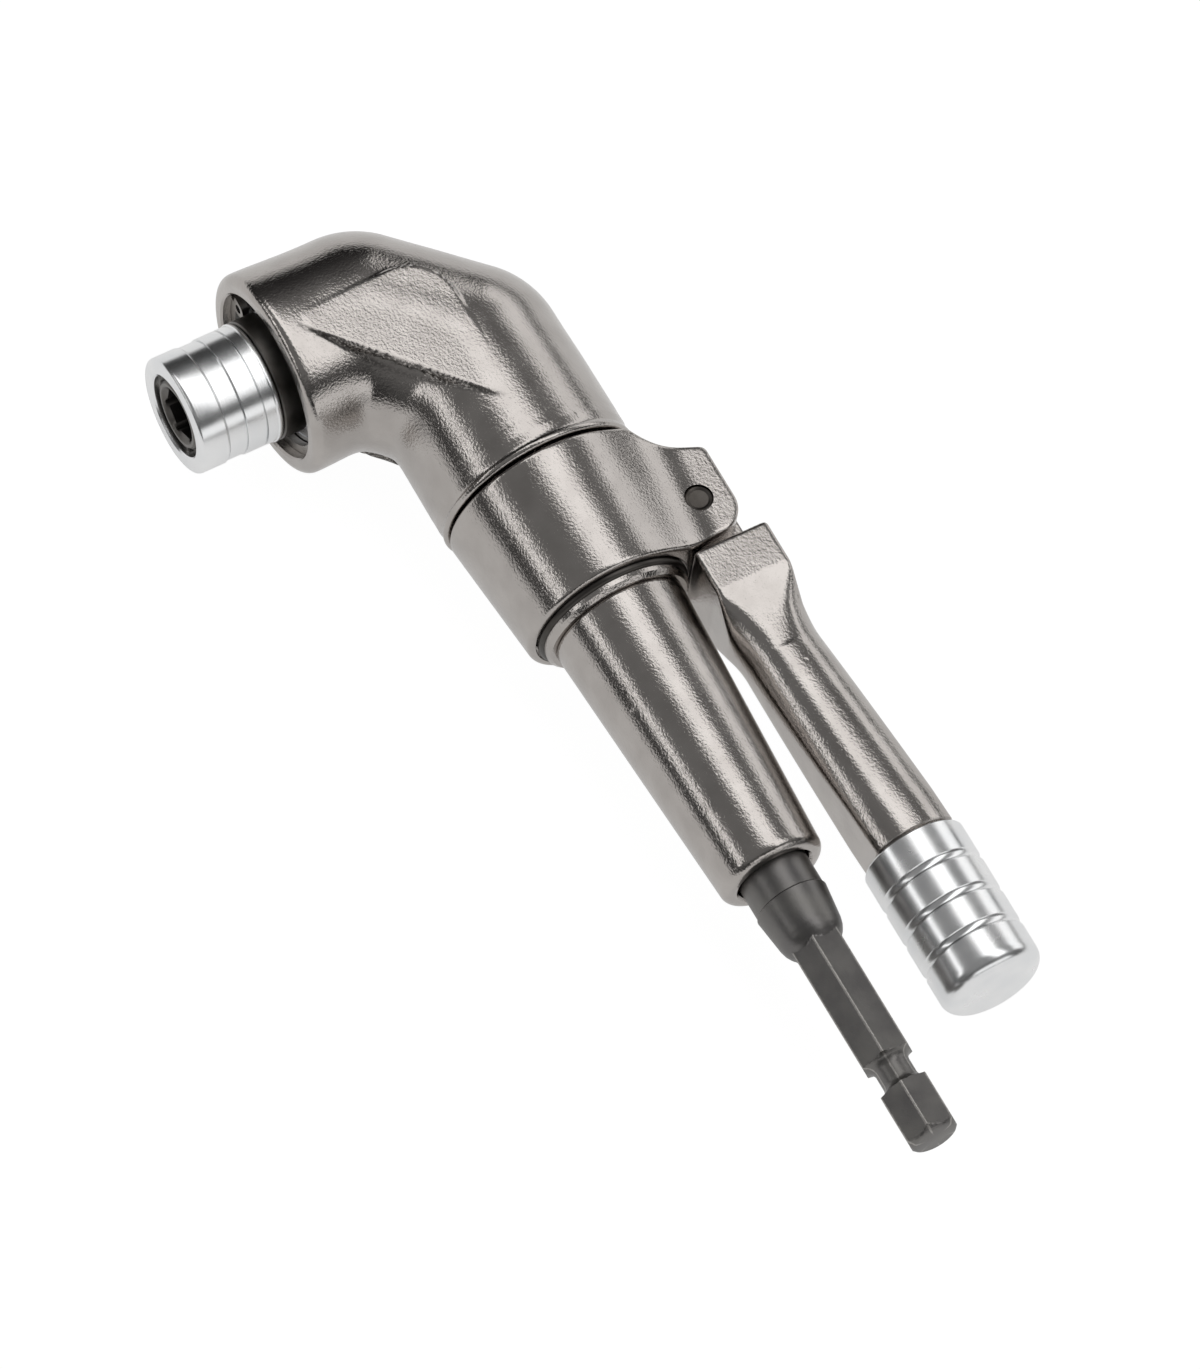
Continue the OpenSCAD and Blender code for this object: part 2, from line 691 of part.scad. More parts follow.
module spindle_tail_bush() {
    color([0.6, 0.45, 0.25]) along_bit(tail_bush_y) ring(tail_bush_r, tail_r + run_fit, 0, tail_bush_len);
}

race_play = 0.02;
ball_pitch_r = (bearing_r + bearing_bore_r) / 2;
race_gap = 1.15;
disc_t = 0.4;

module race_groove() {
    translate([ball_pitch_r, bearing_w / 2]) circle(r = ball_r + race_play, $fn = 48);
}

module bearing_outer_race() {
    color([0.75, 0.75, 0.76]) along_bit(bearing_back_y) rotate_extrude() difference() {
        translate([ball_pitch_r + race_gap, 0]) square([bearing_r - ball_pitch_r - race_gap, bearing_w]);
        race_groove();
    }
}

module bearing_inner_race() {
    color([0.75, 0.75, 0.76]) along_bit(bearing_back_y) rotate_extrude() difference() {
        translate([bearing_bore_r, 0]) square([ball_pitch_r - race_gap - bearing_bore_r, bearing_w]);
        race_groove();
    }
}

module bearing_balls() {
    color([0.8, 0.8, 0.82]) along_bit(bearing_back_y + bearing_w / 2)
        for (i = [0:ball_count - 1]) rotate([0, 0, 360 * i / ball_count])
            translate([ball_pitch_r, 0, 0]) sphere(r = ball_r, $fn = 32);
}

cage_half = 0.55;

module bearing_cage() {
    color([0.7, 0.6, 0.3]) along_bit(bearing_back_y + bearing_w / 2) difference() {
        ring(ball_pitch_r + cage_half, ball_pitch_r - cage_half, -1.25 * ball_r, ball_r / 3);
        for (i = [0:ball_count - 1]) rotate([0, 0, 360 * i / ball_count])
            translate([ball_pitch_r, 0, 0]) sphere(r = ball_r + race_play, $fn = 32);
    }
}

module bearing_shield() {
    color([0.6, 0.6, 0.6]) along_bit(bearing_face_y - disc_t - face_gap)
        ring(ball_pitch_r + race_gap, ball_pitch_r - race_gap + face_gap, 0, disc_t);
}

clip_w = 1.5;
clip_lug_w = 2.6;
clip_lug_in = 1.9;
clip_hole_r = 0.6;
clip_gap_angle = 68;
clip_turn = 355;

// Internal circlip with two lugs drilled for pliers
module bell_circlip() {
    outer = bearing_r + clip_seat - face_gap / 2;
    color([0.45, 0.44, 0.42]) along_bit(mouth_y - circlip_groove - circlip_t + run_fit)
        rotate([0, 0, clip_turn]) difference() {
            union() {
                rotate_extrude(angle = 360 - clip_gap_angle) translate([outer - clip_w, 0])
                    square([clip_w, circlip_t - 2 * run_fit]);
                for (end = [0, 360 - clip_gap_angle]) rotate([0, 0, end])
                    translate([outer - clip_lug_in, 0, 0])
                        cylinder(r = clip_lug_w / 2 - face_gap, h = circlip_t - 2 * run_fit);
                for (end = [0, 360 - clip_gap_angle]) rotate([0, 0, end])
                    translate([outer - clip_lug_in, -clip_lug_w / 2 + face_gap, 0])
                        cube([clip_lug_in - clip_w / 2, clip_lug_w - 2 * face_gap, circlip_t - 2 * run_fit]);
            }
            for (end = [0, 360 - clip_gap_angle]) rotate([0, 0, end])
                translate([outer - clip_lug_in, 0, -over])
                    cylinder(r = clip_hole_r, h = circlip_t + 2 * over);
        }
}

// BIT SLEEVE

sleeve_bead = 0.3;
band_groove = 0.14;
band_shares = [0.16, 0.375, 0.66];
land_r = nose_r + face_gap;
land_back = lock_y - sleeve_y - lock_r;
land_front = lock_y - sleeve_y + lock_r;
chamber_r = 5.5;
ramp_rise = lock_out + face_gap;

module bit_sleeve() {
    color([0.86, 0.87, 0.88]) along_bit(sleeve_y) rotate_extrude() difference() {
        polygon(concat(
            [[land_r, 0], [sleeve_r - sleeve_bead, 0], [sleeve_r + sleeve_bead / 2, sleeve_bead],
             [sleeve_r + sleeve_bead / 2, 2 * sleeve_bead], [sleeve_r, 3 * sleeve_bead]],
            [for (s = band_shares) for (p = [[0, -1], [-1, 0], [0, 1]])
                [sleeve_r + p[0] * band_groove, s * sleeve_len + p[1] * band_groove]],
            [[sleeve_r, sleeve_len - sleeve_bead], [sleeve_r - sleeve_bead, sleeve_len],
             [chamber_r, sleeve_len], [chamber_r, land_front], [land_r, land_front]]));
        // Ramp that lets the ball out as the sleeve moves forward
        polygon([
            [land_r - over, -over], [land_r + ramp_rise + face_gap, -over],
            [land_r + ramp_rise + face_gap, land_back + lock_r - sleeve_travel],
            [land_r, land_back + lock_r], [land_r - over, land_back + lock_r]]);
    }
}

washer_y = ring_groove_y - ring_groove_w - disc_t - washer_inner_gap;
spring_start = sleeve_y + land_front;
spring_room = washer_y - spring_start;
spring_r = (land_r + chamber_r) / 2;
spring_side = 6;
spring_rings = 16;
spring_turns = spring_half_turns / 2;

// Point on the centre line of the spring, by share of its length
function coil_point(s) =
    let (a = 360 * spring_turns * s)
    [spring_r * cos(a), spring_r * sin(a),
     spring_wire / 2 + washer_inner_gap + (spring_room - spring_wire - 2 * washer_inner_gap) * s];

coil_count = round(spring_turns * spring_rings);

// Least gap of the coil to itself, measured on points one turn apart
coil_gap = min([for (i = [0:coil_count], j = [0:coil_count])
    if (abs(i - j) >= spring_rings - 2)
        norm(coil_point(i / coil_count) - coil_point(j / coil_count)) - spring_wire]);
echo(sleeve_spring_least_gap = coil_gap);

// Wound wire spring as one closed tube
module coil_tube() {
    points = [for (i = [0:coil_count]) let (s = i / coil_count, c = coil_point(s), a = 360 * spring_turns * s)
        for (k = [0:spring_side - 1]) let (b = 360 * k / spring_side)
            c + spring_wire / 2 * [cos(b) * cos(a), cos(b) * sin(a), sin(b)]];
    last = coil_count * spring_side;
    faces = concat(
        [[for (k = [0:spring_side - 1]) k]],
        [for (i = [0:coil_count - 1]) for (k = [0:spring_side - 1]) let (m = (k + 1) % spring_side)
            [i * spring_side + k, (i + 1) * spring_side + k, i * spring_side + m]],
        [for (i = [0:coil_count - 1]) for (k = [0:spring_side - 1]) let (m = (k + 1) % spring_side)
            [i * spring_side + m, (i + 1) * spring_side + k, (i + 1) * spring_side + m]],
        [[for (k = [spring_side - 1:-1:0]) last + k]]);
    polyhedron(points, faces, convexity = 6);
}

module sleeve_spring() {
    color([0.7, 0.7, 0.7]) along_bit(spring_start) coil_tube();
}

module spring_washer() {
    color([0.55, 0.55, 0.55]) along_bit(washer_y)
        ring(chamber_r - face_gap, nose_r + run_fit, 0, disc_t);
}

module nose_snap_ring() {
    color([0.6, 0.6, 0.6]) along_bit(ring_groove_y - ring_groove_w + run_fit)
        rotate_extrude(angle = 360 - ring_gap_angle) translate([nose_r - ring_groove_d + run_fit, 0])
            square([ring_groove_d + face_gap * 4, ring_groove_w - 2 * run_fit]);
}

module locking_ball() {
    color([0.8, 0.8, 0.82]) translate([axis_x, lock_y, lock_z]) sphere(r = lock_r, $fn = 32);
}

gear_housing();
swivel_collar();
collar_snap_ring();
side_handle();
handle_pin();
handle_end_cap();
input_shaft();
input_pinion();
pinion_thrust_washer();
lower_shaft_bush();
upper_shaft_bush();
output_gear();
output_spindle();
spindle_tail_bush();
bearing_outer_race();
bearing_inner_race();
bearing_balls();
bearing_cage();
bearing_shield();
bell_circlip();
bit_magnet();
bit_sleeve();
sleeve_spring();
spring_washer();
nose_snap_ring();
locking_ball();
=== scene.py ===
"""Looks of a right-angle screwdriver attachment with a folding side handle.

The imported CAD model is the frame. The pieces that show are rebuilt here as fine surfaces on
the same sizes, and every piece gets the finish of the real one. All sizes are in millimetres
in the row frame: X runs up the shank, Y out of the bell mouth, Z across the two flat pads.
"""
import logging
import math
from dataclasses import dataclass, field
from enum import Enum
from typing import Callable, Sequence

import bpy
import numpy as np
from mathutils import Matrix, Vector
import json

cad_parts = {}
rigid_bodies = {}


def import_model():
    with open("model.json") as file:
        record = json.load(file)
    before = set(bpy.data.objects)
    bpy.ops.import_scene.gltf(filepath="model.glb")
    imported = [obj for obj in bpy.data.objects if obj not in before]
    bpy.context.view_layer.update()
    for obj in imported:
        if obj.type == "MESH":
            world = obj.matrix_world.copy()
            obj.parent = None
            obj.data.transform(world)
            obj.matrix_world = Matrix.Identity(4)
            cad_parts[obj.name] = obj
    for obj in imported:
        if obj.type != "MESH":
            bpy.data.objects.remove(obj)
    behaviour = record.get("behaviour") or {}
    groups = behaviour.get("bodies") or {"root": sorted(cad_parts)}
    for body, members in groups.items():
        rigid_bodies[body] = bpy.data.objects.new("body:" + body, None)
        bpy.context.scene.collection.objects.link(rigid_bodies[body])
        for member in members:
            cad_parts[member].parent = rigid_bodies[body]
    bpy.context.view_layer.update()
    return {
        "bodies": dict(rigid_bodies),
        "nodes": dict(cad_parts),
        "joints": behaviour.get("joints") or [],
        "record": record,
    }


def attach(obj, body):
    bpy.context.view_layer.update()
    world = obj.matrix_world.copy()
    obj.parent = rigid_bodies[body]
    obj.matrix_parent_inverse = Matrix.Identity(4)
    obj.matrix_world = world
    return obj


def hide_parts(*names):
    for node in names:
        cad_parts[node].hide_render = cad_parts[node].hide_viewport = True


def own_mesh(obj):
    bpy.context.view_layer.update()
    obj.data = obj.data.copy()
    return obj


logging.basicConfig(level=logging.INFO, format="%(levelname)s %(message)s")
LOG = logging.getLogger("screwdriver")

MM = 0.001
TURN = 2 * math.pi
AXIS_X = 129.6
PIN = (88.0, -15.0)

Array = np.ndarray
Object = bpy.types.Object
Tree = bpy.types.NodeTree
Socket = bpy.types.NodeSocket
Pair = tuple[float, float]
Triple = tuple[float, float, float]


# ---- surfaces ----


class Ends(Enum):
    """How the first and the last ring of a surface are closed."""

    JOINED = "joined"
    FANS = "fans"


class Axis(Enum):
    """Axis about which a piece is turned."""

    SHANK = "x"
    BIT = "y"
    PIN = "z"


@dataclass(frozen=True)
class Spindle:
    """A turning axis and the point it passes through."""

    axis: Axis
    x: float = 0.0
    y: float = 0.0
    z: float = 0.0

    def rows(self, stations: Array, radii: Array, count: int = 180,
             angle: Array | None = None) -> Array:
        """Rings of a turned form.

        Each ring is the circle radius * (cos, sin) of its angle, moved along the axis by its
        station. A radius may also differ with the angle, for a hexagon or a flat.

        Args:
            stations: Place of each ring along the axis, or one place for each of its points.
            radii: Radius of each ring, or of each ring and angle.
            count: Points round a ring.
            angle: Their angles, if they aren't evenly spread.

        Returns:
            Points as an array of rings, angles and coordinates.
        """
        angle = around(count) if angle is None else angle
        radius = np.broadcast_to(np.reshape(radii, (len(stations), -1)), (len(stations), count))
        along = np.broadcast_to(np.reshape(stations, (len(stations), -1)), radius.shape)
        return self.place(along, radius * np.cos(angle), radius * np.sin(angle))

    def place(self, along: Array, a: Array, b: Array) -> Array:
        """Points from their place along the axis and their two distances across it."""
        order = {Axis.SHANK: (along, -a, b), Axis.BIT: (a, along, b), Axis.PIN: (a, b, along)}
        return np.stack(order[self.axis], axis=-1) + np.array([self.x, self.y, self.z])


def around(count: int) -> Array:
    """Angles spread evenly over a full turn."""
    return np.arange(count) * TURN / count


def near_corners(count: int, at: float, width: float, gain: float) -> Array:
    """Angles round a ring, closer together near two corners.

    The angles divide the area under 1 + gain * exp(-((|angle| - at) / width) ** 2) evenly.

    Args:
        count: Number of angles.
        at: Angle of the corners to both sides of zero.
        width: Reach of the closer spacing.
        gain: How much closer the angles are at the corners.

    Returns:
        The angles, from 0 to a full turn.
    """
    fine = np.linspace(0, TURN, 7201)
    off = np.minimum(fine, TURN - fine)
    weight = 1 + gain * np.exp(-((off - at) / width) ** 2)
    total = np.concatenate([[0.0], np.cumsum((weight[1:] + weight[:-1]) / 2)])
    return np.interp(np.arange(count) / count * total[-1], total, fine)


def arc(cx: float, cy: float, radius: float, start: float, end: float, steps: int) -> list[Pair]:
    """Points on an arc: centre plus radius * (cos, sin) of angles in even steps, from start to
    end in degrees."""
    angle = np.radians(np.linspace(start, end, steps + 1))
    return list(zip(cx + radius * np.cos(angle), cy + radius * np.sin(angle)))


def surface(name: str, rows: Array, ends: Ends, sharp: float = 34.0) -> Object:
    """A closed mesh from a grid of rings, with its faces turned outwards.

    Neighbouring rings are joined by four-sided faces. The sign of the volume, a sum of the
    scalar triple products of the faces, says which way they face.

    Args:
        name: Name of the piece.
        rows: Rings, angles and coordinates in millimetres.
        ends: Whether the last ring joins the first or both ends get a fan.
        sharp: Angle in degrees from which an edge stays sharp.

    Returns:
        The new object, at the origin.
    """
    rings, count = rows.shape[:2]
    verts = rows.reshape(-1, 3) * MM
    index = np.arange(rings * count).reshape(rings, count)
    below = index if ends is Ends.JOINED else index[:-1]
    above = np.roll(index, -1, axis=0) if ends is Ends.JOINED else index[1:]
    quads = np.stack([below, np.roll(below, -1, 1), np.roll(above, -1, 1), above], -1)
    quads = quads.reshape(-1, 4)
    tris = np.zeros((0, 3), int)
    if ends is Ends.FANS:
        first, last = len(verts), len(verts) + 1
        verts = np.vstack([verts, verts[index[0]].mean(0), verts[index[-1]].mean(0)])
        near, far = index[0], index[-1]
        tris = np.vstack([
            np.stack([np.full(count, first), np.roll(near, -1), near], -1),
            np.stack([np.full(count, last), far, np.roll(far, -1)], -1)])
    parts = np.vstack([quads[:, [0, 1, 2]], quads[:, [0, 2, 3]], tris])
    corner = verts[parts]
    if np.einsum("ij,ij->i", corner[:, 0], np.cross(corner[:, 1], corner[:, 2])).sum() < 0:
        quads, tris = quads[:, ::-1], tris[:, ::-1]
    mesh = bpy.data.meshes.new(name)
    mesh.from_pydata(verts.tolist(), [], quads.tolist() + tris.tolist())
    mesh.validate()
    mesh.shade_smooth()
    mesh.set_sharp_from_angle(angle=math.radians(sharp))
    piece = bpy.data.objects.new(name, mesh)
    bpy.context.scene.collection.objects.link(piece)
    return piece


def paint(piece: Object, name: str, values: Array) -> None:
    """Stores one number per point of a piece, in the order of its rings, for its material to
    read; the centres of fans get zero."""
    layer = piece.data.attributes.new(name, "FLOAT", "POINT")
    full = np.zeros(len(piece.data.vertices), np.float32)
    full[: values.size] = values.ravel()
    layer.data.foreach_set("value", full)


def turned(name: str, spindle: Spindle, profile: Sequence[Pair], ends: Ends, count: int) -> Object:
    """A turned piece from the stations and radii of its half section."""
    station, radius = np.array(profile, float).T
    return surface(name, spindle.rows(station, radius, count), ends)


def meet(a: Array, b: Array, blend: float) -> Array:
    """Union of two forms with a fillet: the smaller distance, less a quarter of blend where both
    are equal, fading out where they differ by blend."""
    near = np.clip(1 - np.abs(a - b) / blend, 0, None)
    return np.minimum(a, b) - near * near * blend / 4


def cut(a: Array, b: Array, blend: float) -> Array:
    """Common part of two forms with a rounded edge, the mirror image of meet."""
    return -meet(-a, -b, blend)


def cornered(a: Array, b: Array, radius: float) -> Array:
    """Common part of two forms with a round corner: within the radius of both edges, the distance
    to the corner's centre less the radius."""
    corner = np.hypot(np.clip(a + radius, 0, None), np.clip(b + radius, 0, None)) - radius
    return np.where((a + radius < 0) | (b + radius < 0), np.maximum(a, b), corner)


def hexagon(angle: Array, half: float, turn: float) -> Array:
    """Radius of a hexagon at each angle: half its width over the cosine of the angle to the
    nearest flat."""
    return half / np.cos((angle + turn) % (math.pi / 3) - math.pi / 6)


def reach(centres: Array, rays: Array, form: Callable[[Array], Array], far: float,
          steps: int = 60) -> Array:
    """Radius at which each ray leaves a form.

    Each ray is sampled in even steps, the first step with a positive distance is found, and
    the crossing is closed in by halving.

    Args:
        centres: Start of the rays of each ring, rings by 3.
        rays: Unit directions, rings by angles by 3.
        form: Distance to the surface, negative inside.
        far: Longest radius to try.
        steps: Number of steps.

    Returns:
        Radii, rings by angles.
    """
    t = np.linspace(0, far, steps)
    start = centres[:, None, :]
    outside = np.stack([form(start + rays * step) > 0 for step in t], axis=-1)
    first = np.clip(np.argmax(outside, axis=-1), 1, None)
    low, high = t[first - 1], t[first]
    for _ in range(16):
        middle = (low + high) / 2
        out = form(start + rays * middle[..., None]) > 0
        low, high = np.where(out, low, middle), np.where(out, middle, high)
    return (low + high) / 2


def across_shank(station: Array, y: Array, angle: Array) -> tuple[Array, Array]:
    """Centres and rays of rings across the shank axis; the ray at angle zero points down Y."""
    angle = angle[None, :, None]
    rays = np.array([0.0, -1.0, 0.0]) * np.cos(angle) + np.array([0.0, 0.0, 1.0]) * np.sin(angle)
    centre = np.stack([station, y, 0 * station], -1)
    return centre, np.broadcast_to(rays, (len(station), angle.size, 3))


def pin_hole(half: float, radius: float) -> Object:
    """Round cutter for the hole of the hinge pin."""
    return turned("hole_cutter", Spindle(Axis.PIN, *PIN), [(-half, radius), (half, radius)],
                  Ends.FANS, 64)


def carve(piece: Object, cutters: Sequence[Object], sharp: float) -> None:
    """Cuts holes and slots into a piece with closed cutters, which it then removes; edges over
    the sharp angle in degrees stay sharp."""
    for cutter in cutters:
        change = piece.modifiers.new("cut", "BOOLEAN")
        change.operation = "DIFFERENCE"
        change.solver = "EXACT"
        change.object = cutter
    depsgraph = bpy.context.evaluated_depsgraph_get()
    result = bpy.data.meshes.new_from_object(piece.evaluated_get(depsgraph))
    piece.modifiers.clear()
    piece.data = result
    result.shade_smooth()
    result.set_sharp_from_angle(angle=math.radians(sharp))
    for cutter in cutters:
        bpy.data.objects.remove(cutter)


# ---- finishes ----


def linear(code: str) -> tuple[float, float, float, float]:
    """Linear colour from an sRGB hex value: the low part over 12.92, the rest by the 2.4 power."""
    parts = [int(code[i:i + 2], 16) / 255 for i in (1, 3, 5)]
    r, g, b = [v / 12.92 if v <= 0.04045 else ((v + 0.055) / 1.055) ** 2.4 for v in parts]
    return r, g, b, 1.0


def add(tree: Tree, kind: str, inputs: dict | None = None, **settings: object) -> bpy.types.Node:
    """Adds a node with its settings and links.

    Args:
        tree: Node tree of a material or a world.
        kind: Blender's name of the node, without ShaderNode in front.
        inputs: Value or source socket for each named or numbered input.
        settings: Properties of the node itself.

    Returns:
        The new node.
    """
    node = tree.nodes.new("ShaderNode" + kind)
    for key, value in settings.items():
        setattr(node, key, value)
    for key, value in (inputs or {}).items():
        if isinstance(value, Socket):
            tree.links.new(value, node.inputs[key])
        else:
            node.inputs[key].default_value = value
    return node


def sums(tree: Tree, operation: str, *values: object) -> Socket:
    """Adds a Math node and returns its result."""
    return add(tree, "Math", dict(enumerate(values)), operation=operation).outputs[0]


def spread(tree: Tree, value: Socket, low: float, high: float, first: float = 0.0,
           last: float = 1.0) -> Socket:
    """Adds a Map Range node from low and high to first and last, and returns its result."""
    return add(tree, "MapRange", {"Value": value, "From Min": low, "From Max": high,
                                  "To Min": first, "To Max": last}).outputs[0]


def noise(tree: Tree, place: Socket, scale: float, detail: float, rough: float = 0.5) -> Socket:
    """Adds a noise pattern of that scale per metre and returns its value."""
    return add(tree, "TexNoise", {"Vector": place, "Scale": scale, "Detail": detail,
                                  "Roughness": rough}).outputs["Fac"]


def tint(tree: Tree, share: Socket, first: object, second: object) -> Socket:
    """Mixes two colours by a share and returns the colour."""
    return add(tree, "Mix", {"Factor": share, "A": first, "B": second},
               data_type="RGBA").outputs["Result"]


def marked(tree: Tree, name: str) -> Socket:
    """Reads the numbers that paint stored on a piece."""
    return add(tree, "Attribute", attribute_name=name).outputs["Fac"]


class Marks(Enum):
    """What the making of a surface left on it; the cast ledges also get painted shade, and the worn
    grain edges painted highlights.
    """

    CAST = "cast"
    TURNED_X = "turned about the shank axis"
    TURNED_Y = "turned about the bit axis"
    GRAIN = "grain"


@dataclass(frozen=True)
class Metal:
    """A bare or plated metal.

    Two colours and two roughness values are mixed by a cloudy pattern, so that the surface
    shows the slight unevenness of handled metal. Marks give the relief.
    """

    name: str
    light: str
    dark: str
    smooth: float
    rough: float
    marks: Marks
    relief: float
    worn_and_highlight: str = "#c9c6c2"

    def material(self) -> bpy.types.Material:
        """Builds the node material, or returns it if it is already there."""
        if self.name in bpy.data.materials:
            return bpy.data.materials[self.name]
        made = bpy.data.materials.new(self.name)
        made.use_nodes = True
        tree = made.node_tree
        tree.nodes.clear()
        place = add(tree, "TexCoord").outputs["Object"]
        # Clouds of 4 mm: handling film and slight changes of the plating
        cloud = noise(tree, place, 250.0, 3.0)
        colour = tint(tree, spread(tree, cloud, 0.35, 0.68), linear(self.dark), linear(self.light))
        gloss = spread(tree, cloud, 0.3, 0.7, self.smooth, self.rough)
        colour, gloss, height = self.relief_nodes(tree, place, colour, gloss)
        bump = add(tree, "Bump", {"Height": height, "Strength": 1.0, "Distance": self.relief * MM})
        shader = add(tree, "BsdfPrincipled", {
            "Base Color": colour, "Metallic": 1.0, "Roughness": gloss, "Normal": bump.outputs[0]})
        add(tree, "OutputMaterial", {"Surface": shader.outputs[0]})
        return made

    def relief_nodes(self, tree: Tree, place: Socket, colour: Socket,
                     gloss: Socket) -> tuple[Socket, ...]:
        """Relief of the marks, and what they do to colour and gloss.

        Args:
            tree: Node tree.
            place: Object coordinates.
            colour: Colour so far.
            gloss: Roughness so far.

        Returns:
            Colour, roughness and height.
        """
        if self.marks is Marks.CAST:
            # Orange peel of the die casting under the plating: waves of 1.6 mm, bumps of 0.3 mm
            fine = noise(tree, place, 3000.0, 2.0, 0.6)
            both = sums(tree, "MULTIPLY_ADD", noise(tree, place, 620.0, 0.0), 0.15, fine)
            # Pinholes half a millimetre wide, about one to the square centimetre, and many more
            # on the ground cast edges
            cell = add(tree, "TexVoronoi", {"Vector": place, "Scale": 800.0}).outputs
            # Mask of the ledge edges, which also carries their painted shade
            edge = marked(tree, "cast_edge_and_painted_shade")
            limit = sums(tree, "MULTIPLY_ADD", edge, 0.5, 0.10)
            some = sums(tree, "LESS_THAN", cell["Color"], limit)
            hole = sums(tree, "MULTIPLY", spread(tree, cell["Distance"], 0.1, 0.28, 1.0, 0.0), some)
            height = sums(tree, "MULTIPLY_ADD", hole, -0.9, both)
            gloss = sums(tree, "MULTIPLY_ADD", edge, 0.18, gloss)
            # The broken flash line of the ledges is painted darker, a painted shade for the dark
            # reflection of its faces, with bright grains of 0.3 mm left at the plating's colour
            ledge_shade_paint = sums(tree, "MULTIPLY", edge, spread(tree, fine, 0.5, 0.62, 0.85, 0.0))
            return tint(tree, ledge_shade_paint, colour, linear("#2e2b29")), gloss, height
        if self.marks is Marks.GRAIN:
            # Phosphate crystals and fine scale of 0.25 mm, drawn coarser than real
            fine = noise(tree, place, 4200.0, 3.0, 0.7)
            # Lighter where marked: rubbed bare metal, and painted highlights along corners and rims
            bare_and_highlight = spread(tree, sums(tree, "MULTIPLY", marked(tree, "wear_and_highlight"), fine), 0.25, 0.5)
            return tint(tree, bare_and_highlight, colour, linear(self.worn_and_highlight)), gloss, fine
        # Lathe marks 0.12 mm apart across the axis, almost unbroken round it
        scale = (9000.0, 500.0, 500.0) if self.marks is Marks.TURNED_X else (500.0, 9000.0, 500.0)
        long = add(tree, "Mapping", {"Vector": place, "Scale": scale}).outputs[0]
        return colour, gloss, noise(tree, long, 1.0, 2.0)


# Black nickel plate on die-cast zinc: a warm dark mirror, softened by the cast skin below it
BLACK_NICKEL = Metal("black_nickel_on_cast_zinc", "#b8b3af", "#aea9a5", 0.12, 0.16, Marks.CAST,
                     0.04)
# Polished turned aluminium: nearly white, with soft bands from the fine lathe marks
ALUMINIUM_X = Metal("polished_aluminium_cap", "#f3f3f3", "#eaebec", 0.22, 0.28, Marks.TURNED_X,
                    0.004)
ALUMINIUM_Y = Metal("polished_aluminium_sleeve", "#f3f3f3", "#eaebec", 0.2, 0.26,
                    Marks.TURNED_Y, 0.004)
# Phosphated steel: dull dark grey, lighter on its corners and rim, partly rubbed bare and partly
# painted highlight
PHOSPHATED = Metal("phosphated_steel", "#7f7d7a", "#737170", 0.34, 0.44, Marks.GRAIN, 0.016,
                   "#a9a6a2")
# Blackened steel of the spindle: darker and smoother than the shank
BLACKENED = Metal("blackened_steel", "#706d6a", "#565350", 0.3, 0.42, Marks.GRAIN, 0.008, "#7c7975")
# Steel of the hinge pin, dark from the plating bath
PIN_STEEL = Metal("dark_pin_steel", "#6b6763", "#55514d", 0.32, 0.45, Marks.GRAIN, 0.02, "#8f8b86")
# Spring steel of rings, clip, spring and washer: oiled grey
SPRING_STEEL = Metal("oiled_spring_steel", "#b3b0ac", "#9a9793", 0.25, 0.38, Marks.GRAIN, 0.006)
# The same steel painted darker, a painted shade for the ring in the shadow under the collar
SHADED_SPRING_STEEL = Metal("spring_steel_painted_shade", "#5a5754", "#484542", 0.3, 0.42, Marks.GRAIN, 0.008)
# Ground bearing steel: bright and even
BEARING_STEEL = Metal("ground_bearing_steel", "#c4c5c7", "#b4b5b8", 0.16, 0.22, Marks.GRAIN, 0.002)
# Cut gear steel, oiled
GEAR_STEEL = Metal("cut_gear_steel", "#9a9896", "#82807e", 0.25, 0.36, Marks.GRAIN, 0.008)
# Sintered bronze of the bushes: warm, open grain
BRONZE = Metal("sintered_bronze", "#b08a5a", "#8f6d44", 0.38, 0.52, Marks.GRAIN, 0.02)


def dress(piece: Object, finish: Metal, body: str, slot: str, *nodes: str) -> None:
    """Gives a new piece its finish and its body, and hides the CAD nodes it stands for.

    Args:
        piece: The new piece.
        finish: Its finish.
        body: CAD body that it moves with.
        slot: The record's material slot; not used.
        nodes: CAD nodes that it replaces.
    """
    piece.data.materials.clear()
    piece.data.materials.append(finish.material())
    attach(piece, body)
    if nodes:
        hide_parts(*nodes)
    LOG.info("%s rides on %s, %d faces", piece.name, body, len(piece.data.polygons))


def refinish(frame: dict, finish: Metal, *nodes: str) -> None:
    """Gives CAD nodes that stay a better material in their own slots."""
    for node in nodes:
        for slot in frame["nodes"][node].material_slots:
            slot.material = finish.material()
        LOG.info("%s keeps its CAD shape, finish %s", node, finish.name)


# ---- gear housing ----


